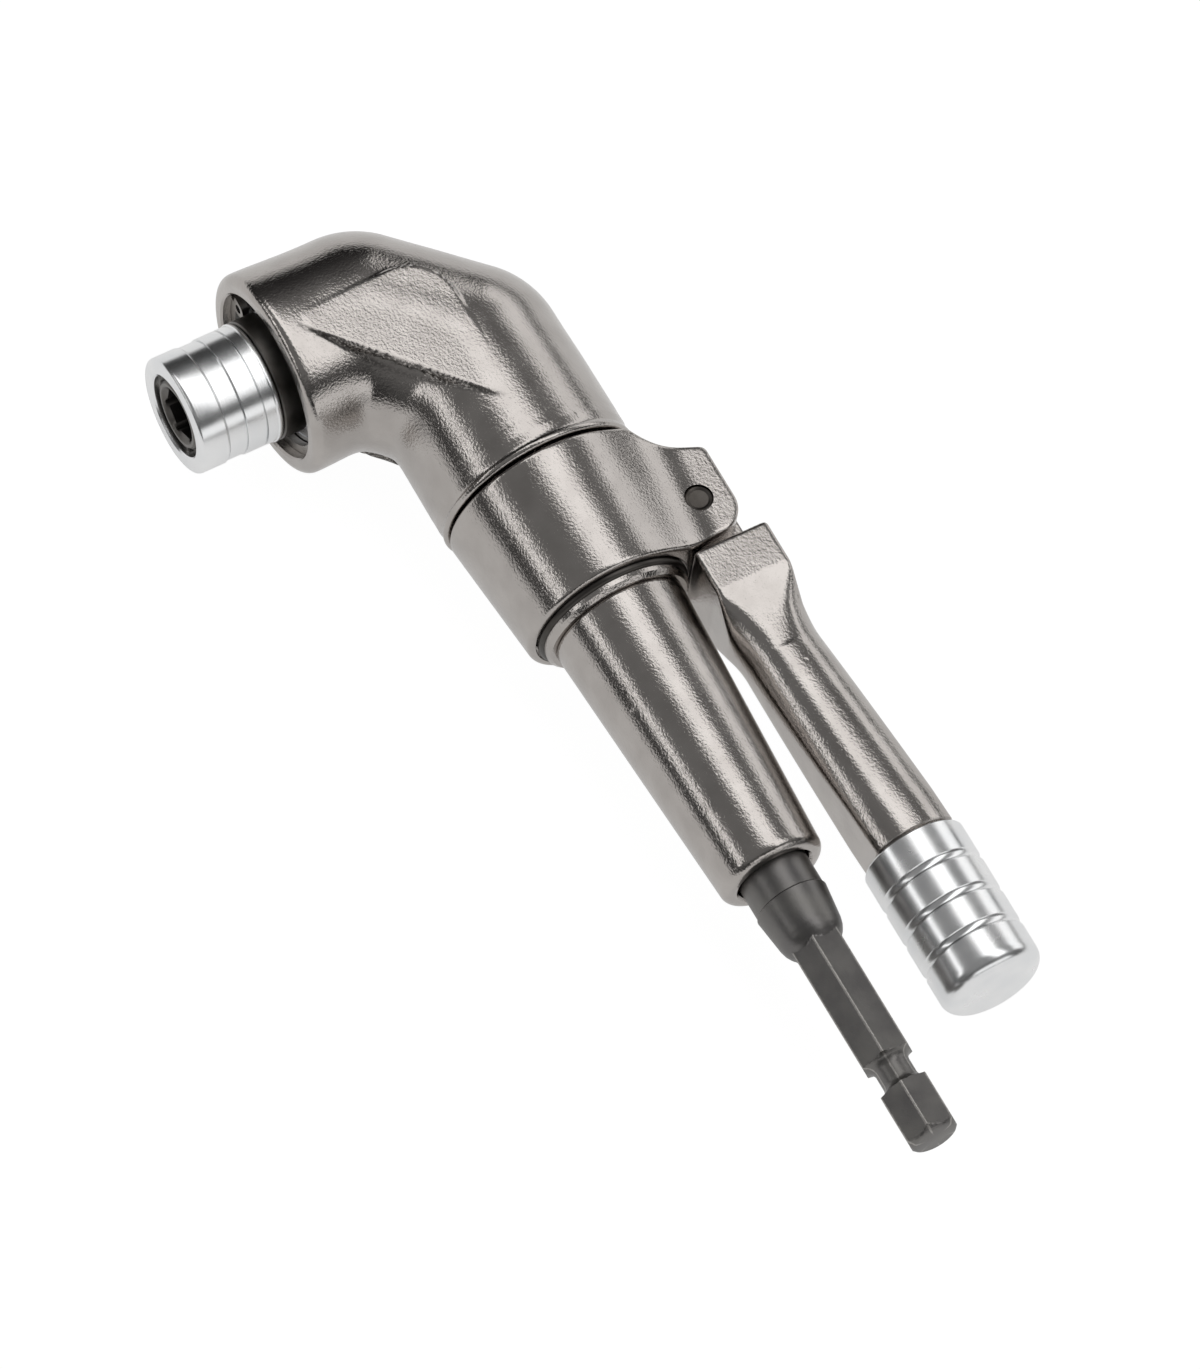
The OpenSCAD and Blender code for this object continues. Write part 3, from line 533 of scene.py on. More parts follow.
@dataclass
class Housing:
    """Die-cast body: tapered barrel, collar seat, neck, bent elbow with two flat pads, bell."""

    barrel_x: float = 40.5
    seat_x: float = 80.0
    barrel_r: Pair = (7.0, 8.9)
    seat_r: float = 10.0
    lip_x: float = 100.3
    neck_r: float = 13.3
    neck_end: float = 119.8
    elbow_r: float = 13.0
    bell_r: float = 13.0
    rim_r: float = 13.35
    elbow_out: float = 10.0
    mouth: float = 22.9
    flare_y: float = 14.05
    mouth_round: float = 1.25
    bend: float = 17.6
    bend_x: float = 112.0
    pipe_r: float = 12.9
    pad_half: Pair = (12.95, 13.16)
    pad_in: float = 22.5
    pad_out: float = 21.2
    pad_lean: float = 0.8
    pad_corner: float = 6.5
    ledge: float = 1.1
    hollow_r: float = 3.0
    hollow_in: float = 1.5
    ring_groove: Triple = (81.1, 82.4, 9.2)
    lip_foot: float = 13.12
    clip_groove: Triple = (21.55, 20.55, 11.42)
    bearing_r: float = 11.0
    bearing_floor: float = 14.45
    cavity_r: float = 10.3
    bell_chamber: Pair = (10.0, 5.8)
    pinion_chamber: Pair = (120.65, 4.75)
    bush_r: Pair = (5.0, 5.6)
    bush_ends: tuple[float, float, float, float] = (43.7, 52.7, 104.9, 116.5)
    shaft_bore: float = 4.4
    bent_run: Pair = (104.4, 21.3)
    count: int = 288

    def taper(self, x: Array) -> Array:
        """Outer radius of the barrel, straight from end to end."""
        low, high = self.barrel_r
        return low + (high - low) * (x - self.barrel_x) / (self.seat_x - self.barrel_x)

    def neck_taper(self, x: Array) -> Array:
        """Outer radius of the neck, straight from the lip to the upper dome."""
        share = np.clip((x - self.lip_x) / (self.neck_end - self.lip_x), 0, 1)
        return self.neck_r + (self.elbow_r - self.neck_r) * share

    def flare(self, y: Array) -> Array:
        """Outer radius of the bell: even, then an S-shaped rise to the rim."""
        t = np.clip((y - self.flare_y) / (self.mouth - self.mouth_round - self.flare_y), 0, 1)
        return self.bell_r + (self.rim_r - self.bell_r) * t * t * (3 - 2 * t)

    def past_ledge(self, x: Array, y: Array) -> Array:
        """Distance beyond the straight line of the ledges, negative on the pads."""
        slope = math.atan2(self.pad_out - self.pad_lean, self.pad_in)
        return -(x + self.pad_in) * math.sin(slope) + (y - self.pad_lean) * math.cos(slope)

    def web(self, x: Array, y: Array, z: Array) -> Array:
        """Web with the two pads: the common part of its four edges, the rounded outer corner and
        the two pad planes, less a round hollow under each ledge.

        Args:
            x: Distance from the bit axis along the shank.
            y: Distance from the shank axis.
            z: Distance from the middle plane.

        Returns:
            Distance to the web.
        """
        back = -(y - self.pad_lean * np.clip((-x - self.pad_in / 2) / (self.pad_in / 2), 0, 1))
        side = (x * (self.pad_out - 4) + (y - self.pad_out) * self.pad_lean) / (self.pad_out - 4)
        outer = cornered(back, side, self.pad_corner)
        away = self.past_ledge(x, y)
        across = np.abs(z)
        low, high = self.pad_half
        half = low + (high - low) * np.clip((x + 21) / 20, 0, 1)
        # Both ends of the pad sink into the neck and the bell
        half -= 0.3 * np.clip((-x - 20.2) / 1.2, 0, 1) + 0.35 * np.clip((y - 18.6) / 1.6, 0, 1)
        hollow = np.hypot(away - self.hollow_r + self.hollow_in, across - half + self.ledge
                          + self.hollow_r) - self.hollow_r
        plate = cut(np.maximum(outer, away), across - half, 0.35)
        return cut(plate, -hollow, 0.3)

    def outside(self, p: Array) -> Array:
        """Outer form: neck with its dome, bell with its dome, the bent pipe and the web, joined
        by fillets."""
        x, y, z = p[..., 0], p[..., 1], p[..., 2]
        over = np.clip(x - self.neck_end, 0, None)
        neck = np.sqrt(over ** 2 + y ** 2 + z ** 2) - self.neck_taper(x)
        under = np.clip(self.elbow_out - y, 0, None)
        bell = np.sqrt((x - AXIS_X) ** 2 + under ** 2 + z ** 2) - self.flare(y)
        bell = np.maximum(bell, y - self.mouth)
        dx, dy = x - self.bend_x, y - self.bend
        ring = np.hypot(np.hypot(np.clip(dx, 0, None), np.clip(dy, None, 0)) - self.bend, z)
        # Straight run of the outer contour between both domes
        run_x, run_y = AXIS_X - self.neck_end, self.elbow_out
        share = np.clip(((x - self.neck_end) * run_x + y * run_y) / (run_x ** 2 + run_y ** 2), 0, 1)
        knee = np.sqrt((x - self.neck_end - share * run_x) ** 2 + (y - share * run_y) ** 2 + z ** 2)
        knee -= self.bell_r
        solid = meet(np.minimum(np.minimum(neck, bell), knee), ring - self.pipe_r, 0.6)
        return meet(solid, self.web(x - AXIS_X, y, z), 0.25)

    def inside(self, p: Array) -> Array:
        """Gear chamber: bearing seat, bell chamber, pinion chamber and bush seat."""
        x, y, z = p[..., 0], p[..., 1], p[..., 2]
        off_bit, off_shank = np.hypot(x - AXIS_X, z), np.hypot(y, z)
        seat = np.maximum(off_bit - self.bearing_r, self.bearing_floor - y)
        middle, half = self.bell_chamber
        bell = np.maximum(off_bit - self.cavity_r, np.abs(y - middle) - half)
        middle, half = self.pinion_chamber
        pinion = np.maximum(off_shank - self.cavity_r, np.abs(x - middle) - half)
        bush = np.maximum(off_shank - self.bush_r[1], x - self.bush_ends[3])
        return np.minimum(np.minimum(seat, bell), np.minimum(pinion, bush))

    def path(self, share: Array) -> tuple[Array, Array]:
        """Centre line and outward direction of the bend at each share of the quarter turn.

        Args:
            share: 0 at the neck to 1 at the bell; beyond these the line runs on straight,
                one unit being the length of the bend.

        Returns:
            Centres and outward directions, each as rings by 3.
        """
        angle = np.clip(share, 0, 1) * math.pi / 2
        out = np.stack([np.sin(angle), -np.cos(angle), 0 * angle], -1)
        centre = np.array([self.bend_x, self.bend, 0.0]) + self.bend * out
        length = self.bend * math.pi / 2
        centre[:, 0] += np.clip(share, None, 0) * length
        centre[:, 1] += np.clip(share - 1, 0, None) * length
        return centre, out

    def bent(self, share: Array, form: Callable[[Array], Array], far: float) -> Array:
        """Rings round the bent centre line, out to where their rays leave a form."""
        centre, out = self.path(share)
        angle = around(self.count)[None, :, None]
        rays = out[:, None, :] * np.cos(angle) + np.array([0.0, 0.0, 1.0]) * np.sin(angle)
        radius = reach(centre, rays, form, far)
        return centre[:, None, :] + rays * radius[..., None]

    def rows(self) -> Array:
        """All rings, from the end of the barrel over the outside to the mouth and back inside."""
        edge = 1.4
        end_r = float(self.taper(np.array(self.barrel_x + edge)))
        small, large = self.bush_r
        low_bush, low_end, high_end, _ = self.bush_ends
        low = [(low_bush, small), (self.barrel_x + 0.35, small), (self.barrel_x, small + 0.35)]
        low += arc(self.barrel_x + edge, end_r - edge, edge, 180, 90, 12)
        cone = np.linspace(self.barrel_x + edge + 0.6, self.seat_x - 0.6, 34)
        low += list(zip(cone, self.taper(cone)))
        # Shoulder, groove of the snap ring, seat of the collar, and the bead of the neck's lip
        low += arc(self.seat_x - 0.3, 8.6, 0.3, 90, 0, 3)
        near, far, depth = self.ring_groove
        low += [(self.seat_x, 9.5), (self.seat_x + 0.5, self.seat_r), (near, self.seat_r),
                (near, depth), (far, depth), (far, self.seat_r), (90.0, self.seat_r),
                (self.lip_x, self.seat_r), (self.lip_x, 12.3)]
        low += arc(self.lip_x + 0.5, 12.84, 0.5, 180, 50, 10)
        low += [(self.lip_x + 1.05, self.lip_foot), (self.lip_x + 1.4, self.lip_foot)]
        neck = np.linspace(self.lip_x + 2.2, 104.0, 6)
        low += list(zip(neck, self.neck_taper(neck)))
        station, radius = np.array(low).T
        shank, bit = Spindle(Axis.SHANK), Spindle(Axis.BIT, x=AXIS_X)
        length = self.bend * math.pi / 2
        start = (self.bent_run[0] - self.bend_x) / length
        stop = 1 + (self.bent_run[1] - self.bend) / length
        outer = self.bent(np.linspace(start, stop, 192), self.outside, 21.0)
        # Rounded mouth, then the bore with the groove of the circlip
        mouth = arc(self.mouth - self.mouth_round, self.rim_r - self.mouth_round, self.mouth_round,
                    90, 0, 12)
        near, far, depth = self.clip_groove
        bore = self.bearing_r
        mouth += [(self.mouth, bore + 0.25), (self.mouth - 0.25, bore), (near, bore),
                  (near, depth), (far, depth), (far, bore), (18.0, bore)]
        bell_station, bell_radius = np.array(mouth).T
        inner = self.bent(np.linspace(1.02, -0.02, 48), self.inside, 16.0)
        core = np.array([(high_end, large), (high_end, self.shaft_bore), (low_end, self.shaft_bore),
                         (low_end, small)])
        return np.concatenate([
            shank.rows(station, radius, self.count), outer,
            bit.rows(bell_station, bell_radius, self.count),
            inner, shank.rows(core[:, 0], core[:, 1], self.count)])

    def build(self) -> None:
        """Makes the housing and marks the rough cast edges of the ledges, which its material also
        paints darker as painted shade.
        """
        rows = self.rows()
        piece = surface("gear_housing_casting", rows, Ends.JOINED, 40.0)
        x, y, z = rows[..., 0] - AXIS_X, rows[..., 1], np.abs(rows[..., 2])
        # Mask of the ledge edges: pinholes, roughness, and the painted shade of their dark
        # reflection
        edge_and_shade_paint = np.clip(1 - np.abs(self.past_ledge(x, y)) / 0.5, 0, 1) * np.clip(z - 9.5, 0, 1)
        edge_and_shade_paint *= np.clip(x + 21.5, 0, 1) * np.clip(20.4 - y, 0, 1)
        paint(piece, "cast_edge_and_painted_shade", edge_and_shade_paint)
        dress(piece, BLACK_NICKEL, "housing", "plated_zinc", "gear_housing")


# ---- collar and side handle ----


@dataclass
class SwivelCollar:
    """Collar that turns on the housing, with the two-eared lug for the handle."""

    start: float = 81.9
    lug_x: float = 82.6
    end: float = 100.0
    top_r: float = 13.1
    low_r: float = 11.65
    bore: float = 10.04
    lug_half: float = 6.5
    lug_reach: float = 19.2
    lug_corner: float = 3.8
    lug_rise: float = 14.2
    lug_slope: float = 2.7
    lug_fillet: float = 5.0
    edge: float = 0.7
    slot: Triple = (20.2, 10.85, 2.6)
    skirt_r: float = 10.65
    pin_r: float = 1.85
    count: int = 480

    def form(self, p: Array) -> Array:
        """Cone of the collar and the lug with its rounded outline, joined by a wide fillet."""
        x, y, z = p[..., 0], p[..., 1], p[..., 2]
        share = (x - self.start) / (self.end - self.start)
        cone = np.hypot(y, z) - (self.low_r + (self.top_r - self.low_r) * share)
        low, high = self.lug_x - x, x - self.lug_x - self.lug_rise
        outer = -y - self.lug_reach
        # The upper edge leans back towards the neck; 0.91 is the cosine of its angle
        lean = (self.lug_reach + y) * self.lug_slope / (self.lug_reach - self.top_r)
        high = (high + self.lug_slope - np.clip(lean, -1, 4.2)) * 0.91
        outline = cut(cornered(low, outer, self.lug_corner), high, self.edge)
        lug = cut(outline, np.abs(z) - self.lug_half, 0.5)
        lug = np.maximum(lug, y)
        whole = meet(cone, lug, self.lug_fillet)
        return cut(whole, np.maximum(self.start - x, x - self.end), self.edge)

    def build(self) -> None:
        """Makes the collar with its slot and its pin hole, and the pin that it carries."""
        # Rings close together on the rounded ends, and rays where the lug leaves the cone
        inset = np.concatenate([[0.03], 0.1 + np.arange(8) * 0.13])
        middle = np.linspace(self.start + 1.3, self.end - 1.3, 84)
        station = np.concatenate([self.start + inset, middle, (self.end - inset)[::-1]])
        angles = near_corners(self.count, 0.42, 0.28, 5.0)
        radius = reach(*across_shank(station, 0 * station, angles), self.form, 24.0)
        shank = Spindle(Axis.SHANK)
        outer = shank.rows(station, radius, self.count, angles)
        bore = np.array([(self.end, self.bore + 0.25), (self.end - 0.25, self.bore),
                         (self.lug_x, self.bore), (self.lug_x, self.skirt_r),
                         (self.start + 0.1, self.skirt_r), (self.start, self.skirt_r + 0.1)])
        bore = shank.rows(bore[:, 0], bore[:, 1], self.count, angles)
        faces = [shank.rows(np.array([x]), ring - 0.12, self.count, angles)
                 for x, ring in ((self.start, radius[:1]), (self.end, radius[-1:]))]
        rows = np.concatenate([faces[0], outer, faces[1], bore])
        piece = surface("swivel_collar_casting", rows, Ends.JOINED, 40.0)
        carve(piece, [self.slot_cutter(), pin_hole(8, self.pin_r)], 40.0)
        dress(piece, BLACK_NICKEL, "collar", "plated_zinc", "swivel_collar")
        self.build_pin()

    def slot_cutter(self) -> Object:
        """Box that cuts the slot for the tongue, as four-cornered rings along the shank."""
        out, floor, half = self.slot
        x = np.array([self.start - 1, PIN[0] + 4.4])[:, None]
        y, z = np.array([-out, -out, -floor, -floor]), np.array([-half, half, half, -half])
        return surface("slot_cutter", np.stack(np.broadcast_arrays(x, y, z), -1), Ends.FANS)

    def build_pin(self) -> None:
        """Hinge pin: its ends are sunk a little, with a swollen rim where they were staked."""
        half, r = self.lug_half - 0.12, self.pin_r - 0.07
        end = [(half - 0.22, 0.25), (half - 0.2, r - 0.55), (half - 0.08, r - 0.38),
               (half, r - 0.2), (half - 0.12, r - 0.02)]
        profile = [(-s, c) for s, c in end] + end[::-1]
        piece = turned("hinge_pin", Spindle(Axis.PIN, *PIN), profile, Ends.FANS, 72)
        dress(piece, PIN_STEEL, "collar", "dark_steel", "handle_pin")


@dataclass
class SideHandle:
    """Folding handle: tongue, head with hollow ramps, tapered rod and polished end cap."""

    shoulder: float = 81.7
    end: float = 35.9
    head_y: float = -15.85
    cap_y: float = -16.85
    head_half: float = 5.15
    thick: float = 6.5
    flat_len: float = 6.1
    ramp_len: float = 9.5
    rod: Pair = (5.05, 6.75)
    rod_top: Pair = (70.85, -15.45)
    rod_taper: float = 30.0
    flare: float = 3.7
    pin_hole_r: float = 1.89
    tongue: Pair = (4.0, 2.5)
    tongue_foot: float = 85.0
    cap_len: float = 21.1
    cap_r: float = 6.9
    cap_round: float = 1.9
    groove_r: float = 0.62
    groove_shares: tuple[float, ...] = (0.25, 0.49, 0.725)
    count: int = 320

    def axis_y(self, x: Array) -> Array:
        """Middle of the head and of the rod, which leans slightly outwards towards the cap."""
        top_x, top_y = self.rod_top
        return np.interp(x, [self.end, top_x, self.shoulder - self.flat_len, self.shoulder],
                         [self.cap_y, top_y, self.head_y, self.head_y])

    def form(self, p: Array) -> Array:
        """A rod that flares towards the head, cut by the two sides of the head and by the top
        and bottom faces, which fall in a hollow ramp until they meet the crown of the rod."""
        x, y, z = p[..., 0], p[..., 1] - self.axis_y(p[..., 0]), np.abs(p[..., 2])
        from_flat = self.shoulder - self.flat_len - x
        share = np.clip((from_flat - self.ramp_len / 2) / self.rod_taper, 0, 1)
        rod_r = self.rod[0] + (self.rod[1] - self.rod[0]) * share
        t = np.clip(from_flat / self.ramp_len, 0, 1)
        flare = self.flare * (1 - t) ** 2
        drop = (self.thick - rod_r + 0.1) * (1 - (1 - t) ** 2)
        top = np.where(t < 1, self.thick - drop, rod_r + 0.1)
        body = np.hypot(y, z) - rod_r - flare
        head = cut(np.abs(y) - self.head_half - 0.2 * t, z - top, 0.6)
        return cut(cut(body, head, 0.5), x - self.shoulder, 0.7)

    def build(self) -> None:
        """Makes the casting with its tongue, bores it for the pin, and adds the cap."""
        # Rings close together at the shoulder and on the ramps, wide apart on the rod
        near = self.shoulder - np.array([0.02, 0.1, 0.22, 0.36, 0.52, 0.7, 0.9])
        station = np.concatenate([near, np.linspace(self.shoulder - 1.15, 63.0, 62),
                                  np.linspace(62.0, self.end + 0.25, 24)])
        angle = around(self.count)
        centre, rays = across_shank(station, self.axis_y(station), angle)
        rows = centre[:, None, :] + rays * reach(centre, rays, self.form, 10.0)[..., None]
        seat = rows[-1:] * 1.0
        seat[..., 0] = self.end
        seat[..., 1:] = (seat[..., 1:] - centre[-1, 1:]) * 0.94 + centre[-1, 1:]
        rows = np.concatenate([self.tongue_rows(angle, rows[0]), rows, seat])
        piece = surface("side_handle_casting", rows, Ends.FANS, 40.0)
        carve(piece, [pin_hole(4, self.pin_hole_r)], 40.0)
        dress(piece, BLACK_NICKEL, "handle", "plated_zinc", "side_handle")
        self.build_cap()

    def tongue_rows(self, angle: Array, first: Array) -> Array:
        """Rings of the tongue, from its round end to the shoulder.

        Each ring is a rectangle: the shorter of the distances to its side and to its face,
        along the ray of the angle. Its half width follows a circle about the pin.

        Args:
            angle: Angles of the rays.
            first: First ring of the head, which the last ring of the tongue joins.

        Returns:
            Rings from the end of the tongue down.
        """
        half, face = self.tongue
        turn = np.radians(np.linspace(4, 90, 14))
        x = np.concatenate([PIN[0] + half * np.cos(turn), [self.tongue_foot, self.shoulder]])
        width = np.concatenate([half * np.sin(turn), [half, half]])
        side = width[:, None] / np.maximum(np.abs(np.cos(angle)), 1e-6)
        top = face / np.maximum(np.abs(np.sin(angle)), 1e-6)
        radius = np.minimum(side, top)
        rows = np.stack([np.broadcast_to(x[:, None], radius.shape),
                         PIN[1] - radius * np.cos(angle), radius * np.sin(angle)], -1)
        ring = first * 1.0
        ring[:, 0] = self.shoulder
        ring[:, 1:] = (ring[:, 1:] - [self.head_y, 0]) * 0.99 + [self.head_y, 0]
        return np.concatenate([rows, ring[None]])

    def build_cap(self) -> None:
        """Turned end cap: three round grooves with soft bulges between them, rounded end."""
        r, length = self.cap_r, self.cap_len
        profile = [(0.0, 4.2), (-0.02, r - 0.6), (-0.2, r - 0.18), (-0.42, r - 0.02)]
        for share in self.groove_shares:
            angle = np.radians(np.linspace(60, -60, 15))
            profile += list(zip(-share * length + self.groove_r * np.sin(angle) * 1.25,
                                r + self.groove_r * (0.5 - np.cos(angle))))
        edge = self.cap_round
        profile += arc(-length + edge, r - edge, edge, 90, 180, 14)
        profile += [(-length, 3.2), (-length + 0.03, 2.0), (-length + 0.04, 0.3)]
        piece = turned("handle_end_cap_turned", Spindle(Axis.SHANK, self.end, self.cap_y), profile,
                       Ends.FANS, 200)
        dress(piece, ALUMINIUM_X, "handle", "polished_aluminium", "handle_end_cap")


# ---- drive shaft ----


@dataclass
class DriveShaft:
    """Hexagon shank with its ball groove, cone and journal, running on inside to the pinion."""

    across: float = 6.35
    turn: float = 12.0
    length: float = 29.4
    cone: float = 6.8
    journal: float = 4.75
    journal_end: float = 43.4
    shaft: float = 3.2
    tip: float = 125.2
    groove: Triple = (9.8, 2.35, 4.4)
    groove_round: float = 1.3
    chamfer: Pair = (2.85, 0.9)
    shoulder: tuple[Pair, ...] = ((-0.6, 0.0), (0.0, 3.2), (0.6, 3.72), (1.3, 4.08), (2.1, 4.29),
                                  (3.0, 4.4))
    count: int = 240

    def build(self) -> None:
        """Makes the shaft: each ring is the hexagon held inside the chamfer and the groove, and
        outside the cone, so that the flats run out in scallops."""
        # Its turn is counted from the side that faces the viewer in the photographed lie, and
        # its corners are slightly rounded
        half = self.across / 2
        flats = np.minimum(hexagon(around(self.count), half, math.radians(self.turn)), half * 1.142)
        place, floor, width = self.groove
        station = np.concatenate([
            [0.0, 0.12], np.linspace(0.3, 1.9, 9), np.linspace(3, place - width / 2 - 0.6, 4),
            np.linspace(place - width / 2 - 0.3, place + width / 2 + 0.3, 40),
            np.linspace(place + width / 2 + 1, self.length - 3, 6),
            np.linspace(self.length - 2.4, self.length + self.cone, 48)])
        bevel = self.chamfer[0] + station * self.chamfer[1]
        bevel = np.where(station < 0.12, 2.7, bevel)
        # Groove: straight floor with round shoulders
        off, bend = np.abs(station - place), self.groove_round
        rise = np.clip(off - (width / 2 - bend), 0, bend)
        ball = floor + bend - np.sqrt(np.clip(bend ** 2 - rise ** 2, 0, None))
        ball = np.where(off > width / 2 - 0.001, 9.0, ball)
        # A blunt round shoulder, then the cone up to a rim beside the journal
        steps = np.array([*self.shoulder, (self.cone, self.journal + 0.1)])
        cone = np.interp(station - self.length, steps[:, 0], steps[:, 1])
        limit = np.minimum(bevel, ball)
        radius = np.maximum(np.minimum(flats[None, :], limit[:, None]), cone[:, None])
        rim_x, running = self.length + self.cone, self.journal - 0.08
        rest = [(rim_x + 0.1, self.journal + 0.02), (rim_x + 0.22, running),
                (self.journal_end, running), (self.journal_end, self.shaft),
                (self.tip - 0.3, self.shaft), (self.tip, self.shaft - 0.3)]
        tail_x, tail_r = np.array(rest).T
        shank = Spindle(Axis.SHANK)
        rows = np.concatenate([shank.rows(station, radius, self.count),
                               shank.rows(tail_x, tail_r, self.count)])
        piece = surface("drive_shaft", rows, Ends.FANS, 25.0)
        # Painted highlight and wear: thin lighter lines on the hexagon's corners and a lighter ring
        # on the rim
        corner = np.clip((flats - half * 1.10) / 0.12, 0, 1)
        wear_and_highlight = np.zeros(rows.shape[:2])
        wear_and_highlight[: len(station)] = corner[None, :] * (cone[:, None] < radius - 0.02)
        rim_wear_and_highlight = 0.5 * np.exp(-((rows[..., 0] - rim_x) / 0.3) ** 2)
        paint(piece, "wear_and_highlight", np.maximum(wear_and_highlight, rim_wear_and_highlight))
        dress(piece, PHOSPHATED, "input", "dark_steel", "input_shaft")


# ---- bit holder ----


@dataclass
class BitHolder:
    """Polished bit sleeve on the nose of the output spindle, and the rings that hold it."""

    hub_y: float = 24.25
    sleeve_y: float = 24.35
    sleeve_len: float = 11.3
    sleeve_r: float = 7.75
    nose_r: float = 4.6
    nose_y: float = 35.25
    hub_r: float = 7.9
    sleeve_travel: float = 2.2
    land: Triple = (3.2, 4.2, 4.7)
    ramp: Pair = (1.0, 5.46)
    chamber_r: float = 5.5
    line_y: float = 26.65
    line_depth: float = 0.35
    band: Pair = (29.3, 32.0)
    socket_half: float = 3.225
    socket_floor: float = 18.05
    bit: Spindle = field(default_factory=lambda: Spindle(Axis.BIT, x=AXIS_X))

    def build(self, frame: dict) -> None:
        """Makes the sleeve, the spindle and the rings in the mouth of the bell."""
        self.build_sleeve()
        self.build_spindle()
        self.build_rings()
        self.build_spring(frame)
        refinish(frame, SPRING_STEEL, "spring_washer", "bell_circlip")
        refinish(frame, BEARING_STEEL, "locking_ball", "bit_magnet", "bearing_shield")

    def build_spring(self, frame: dict) -> None:
        """Wound spring of the CAD, copied as a piece of its own on the output body."""
        source = frame["nodes"]["sleeve_spring"]
        data = source.data.copy()
        data.transform(source.matrix_world)
        piece = bpy.data.objects.new("sleeve_spring_wound", data)
        bpy.context.scene.collection.objects.link(piece)
        dress(piece, SPRING_STEEL, "output", "spring_steel", "sleeve_spring")
        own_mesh(piece)

    def build_sleeve(self) -> None:
        """Sleeve: ramp and land in its bore, rear flange, fine groove, sunk band, round edge."""
        y, r = self.sleeve_y, self.sleeve_r
        front = y + self.sleeve_len
        land_from, land_to, land_r = self.land
        ramp_to, ramp_r = self.ramp
        profile = [(y + land_from, land_r), (y + ramp_to, ramp_r), (y, ramp_r), (y, r - 0.25),
                   (y + 0.12, r + 0.1), (y + 0.3, r + 0.15), (y + 0.62, r + 0.15),
                   (y + 0.78, r + 0.02)]
        line, groove = self.line_y, r - self.line_depth
        profile += [(line + s, d) for s, d in
                    ((-0.15, r), (-0.08, groove), (0.08, groove), (0.15, r))]
        # Sunk band: a finer groove at each of its edges, the same on both sides
        low, high = self.band
        edge = [(-0.1, 0), (0, 0.06), (0.04, 0.32), (0.14, 0.32), (0.2, 0.17)]
        profile += [(low + s, r - d) for s, d in edge] + [(high - s, r - d) for s, d in edge[::-1]]
        profile += arc(front - 0.55, r - 0.55, 0.55, 90, 20, 6)
        inner = self.chamber_r
        profile += [(front, r - 0.85), (front, inner + 0.25), (front - 0.25, inner),
                    (y + land_to, inner), (y + land_to, land_r)]
        station, radius = np.array(profile).T
        piece = surface("bit_sleeve_turned", self.bit.rows(station, radius, 220), Ends.JOINED, 30.0)
        dress(piece, ALUMINIUM_Y, "sleeve", "polished_aluminium", "bit_sleeve")

    def build_spindle(self) -> None:
        """Spindle: hub behind the sleeve, nose with its ring groove, and the hexagon socket,
        whose rings change from a circle at the chamfer to a hexagon inside."""
        count, hub, nose, tip = 240, self.hub_r, self.nose_r, self.nose_y
        flats = hexagon(around(count), self.socket_half, math.pi / 6)
        # Pocket of the magnet, tail, seat of the gear, seat of the bearing, shoulder and hub,
        # nose with the groove of its ring
        solid = [(self.socket_floor, 2.6), (16.05, 2.6), (16.05, 0.4), (-1.3, 0.4), (-1.3, 2.4),
                 (4.4, 2.4), (4.4, 4.5), (14.45, 4.5), (14.45, 5.0), (20.45, 5.0), (20.45, 6.4),
                 (20.95, 6.4), (20.95, hub - 0.2), (21.15, hub), (self.hub_y - 0.2, hub),
                 (self.hub_y, hub - 0.2), (self.hub_y, nose), (33.75, nose), (33.75, 4.25),
                 (34.35, 4.25), (34.35, nose), (tip - 0.3, nose), (tip, nose - 0.3)]
        station, radius = np.array(solid).T
        socket = np.stack([np.maximum(flats, 3.95), np.maximum(flats, 3.62), flats, flats])
        mouth = self.bit.rows(np.array([tip, tip - 0.3, tip - 0.6, self.socket_floor]), socket,
                              count)
        rows = np.concatenate([self.bit.rows(station, radius, count), mouth])
        piece = surface("output_spindle_turned", rows, Ends.JOINED, 30.0)
        # Painted highlight and wear: a lighter ring on the chamfer at the tip of the nose
        paint(piece, "wear_and_highlight", np.exp(-((rows[..., 1] - 35.2) / 0.25) ** 2) * 0.8)
        dress(piece, BLACKENED, "output", "dark_steel", "output_spindle")

    def build_rings(self) -> None:
        """Split rings: round wire under the collar and a flat ring on the nose of the spindle."""
        ring = split_ring("collar_snap_ring_wire", Spindle(Axis.SHANK, x=81.75), 9.85,
                          (0.63, 0.63), 291.0)
        # Its darker colour is painted shade for the shadow under the collar
        dress(ring, SHADED_SPRING_STEEL, "housing", "spring_steel", "collar_snap_ring")
        nose = split_ring("nose_snap_ring_wire", Spindle(Axis.BIT, AXIS_X, 34.05), 4.64,
                          (0.34, 0.26), 250.0)
        dress(nose, SPRING_STEEL, "output", "spring_steel", "nose_snap_ring")


def split_ring(name: str, spindle: Spindle, radius: float, half: Pair,
               gap_at: float, gap: float = 14.0) -> Object:
    """A wire ring with a gap: an ellipse carried round a circle, with rounded ends.

    Args:
        name: Name of the piece.
        spindle: Axis of the ring, through its middle.
        radius: Radius of the wire's centre line.
        half: Half size of the wire, radially and along the axis.
        gap_at: Angle of the middle of the gap in degrees.
        gap: Width of the gap in degrees.

    Returns:
        The new object.
    """
    turn = np.radians(np.linspace(gap_at + gap / 2, gap_at + 360 - gap / 2, 150))
    size = np.concatenate([[0.45, 0.8, 1.0], np.ones(144), [1.0, 0.8, 0.45]])[:, None]
    section = around(20)
    out = radius + half[0] * np.cos(section)[None, :] * size
    along = half[1] * np.sin(section)[None, :] * size
    rows = spindle.place(along, out * np.cos(turn)[:, None], out * np.sin(turn)[:, None])
    return surface(name, rows, Ends.FANS, 50.0)


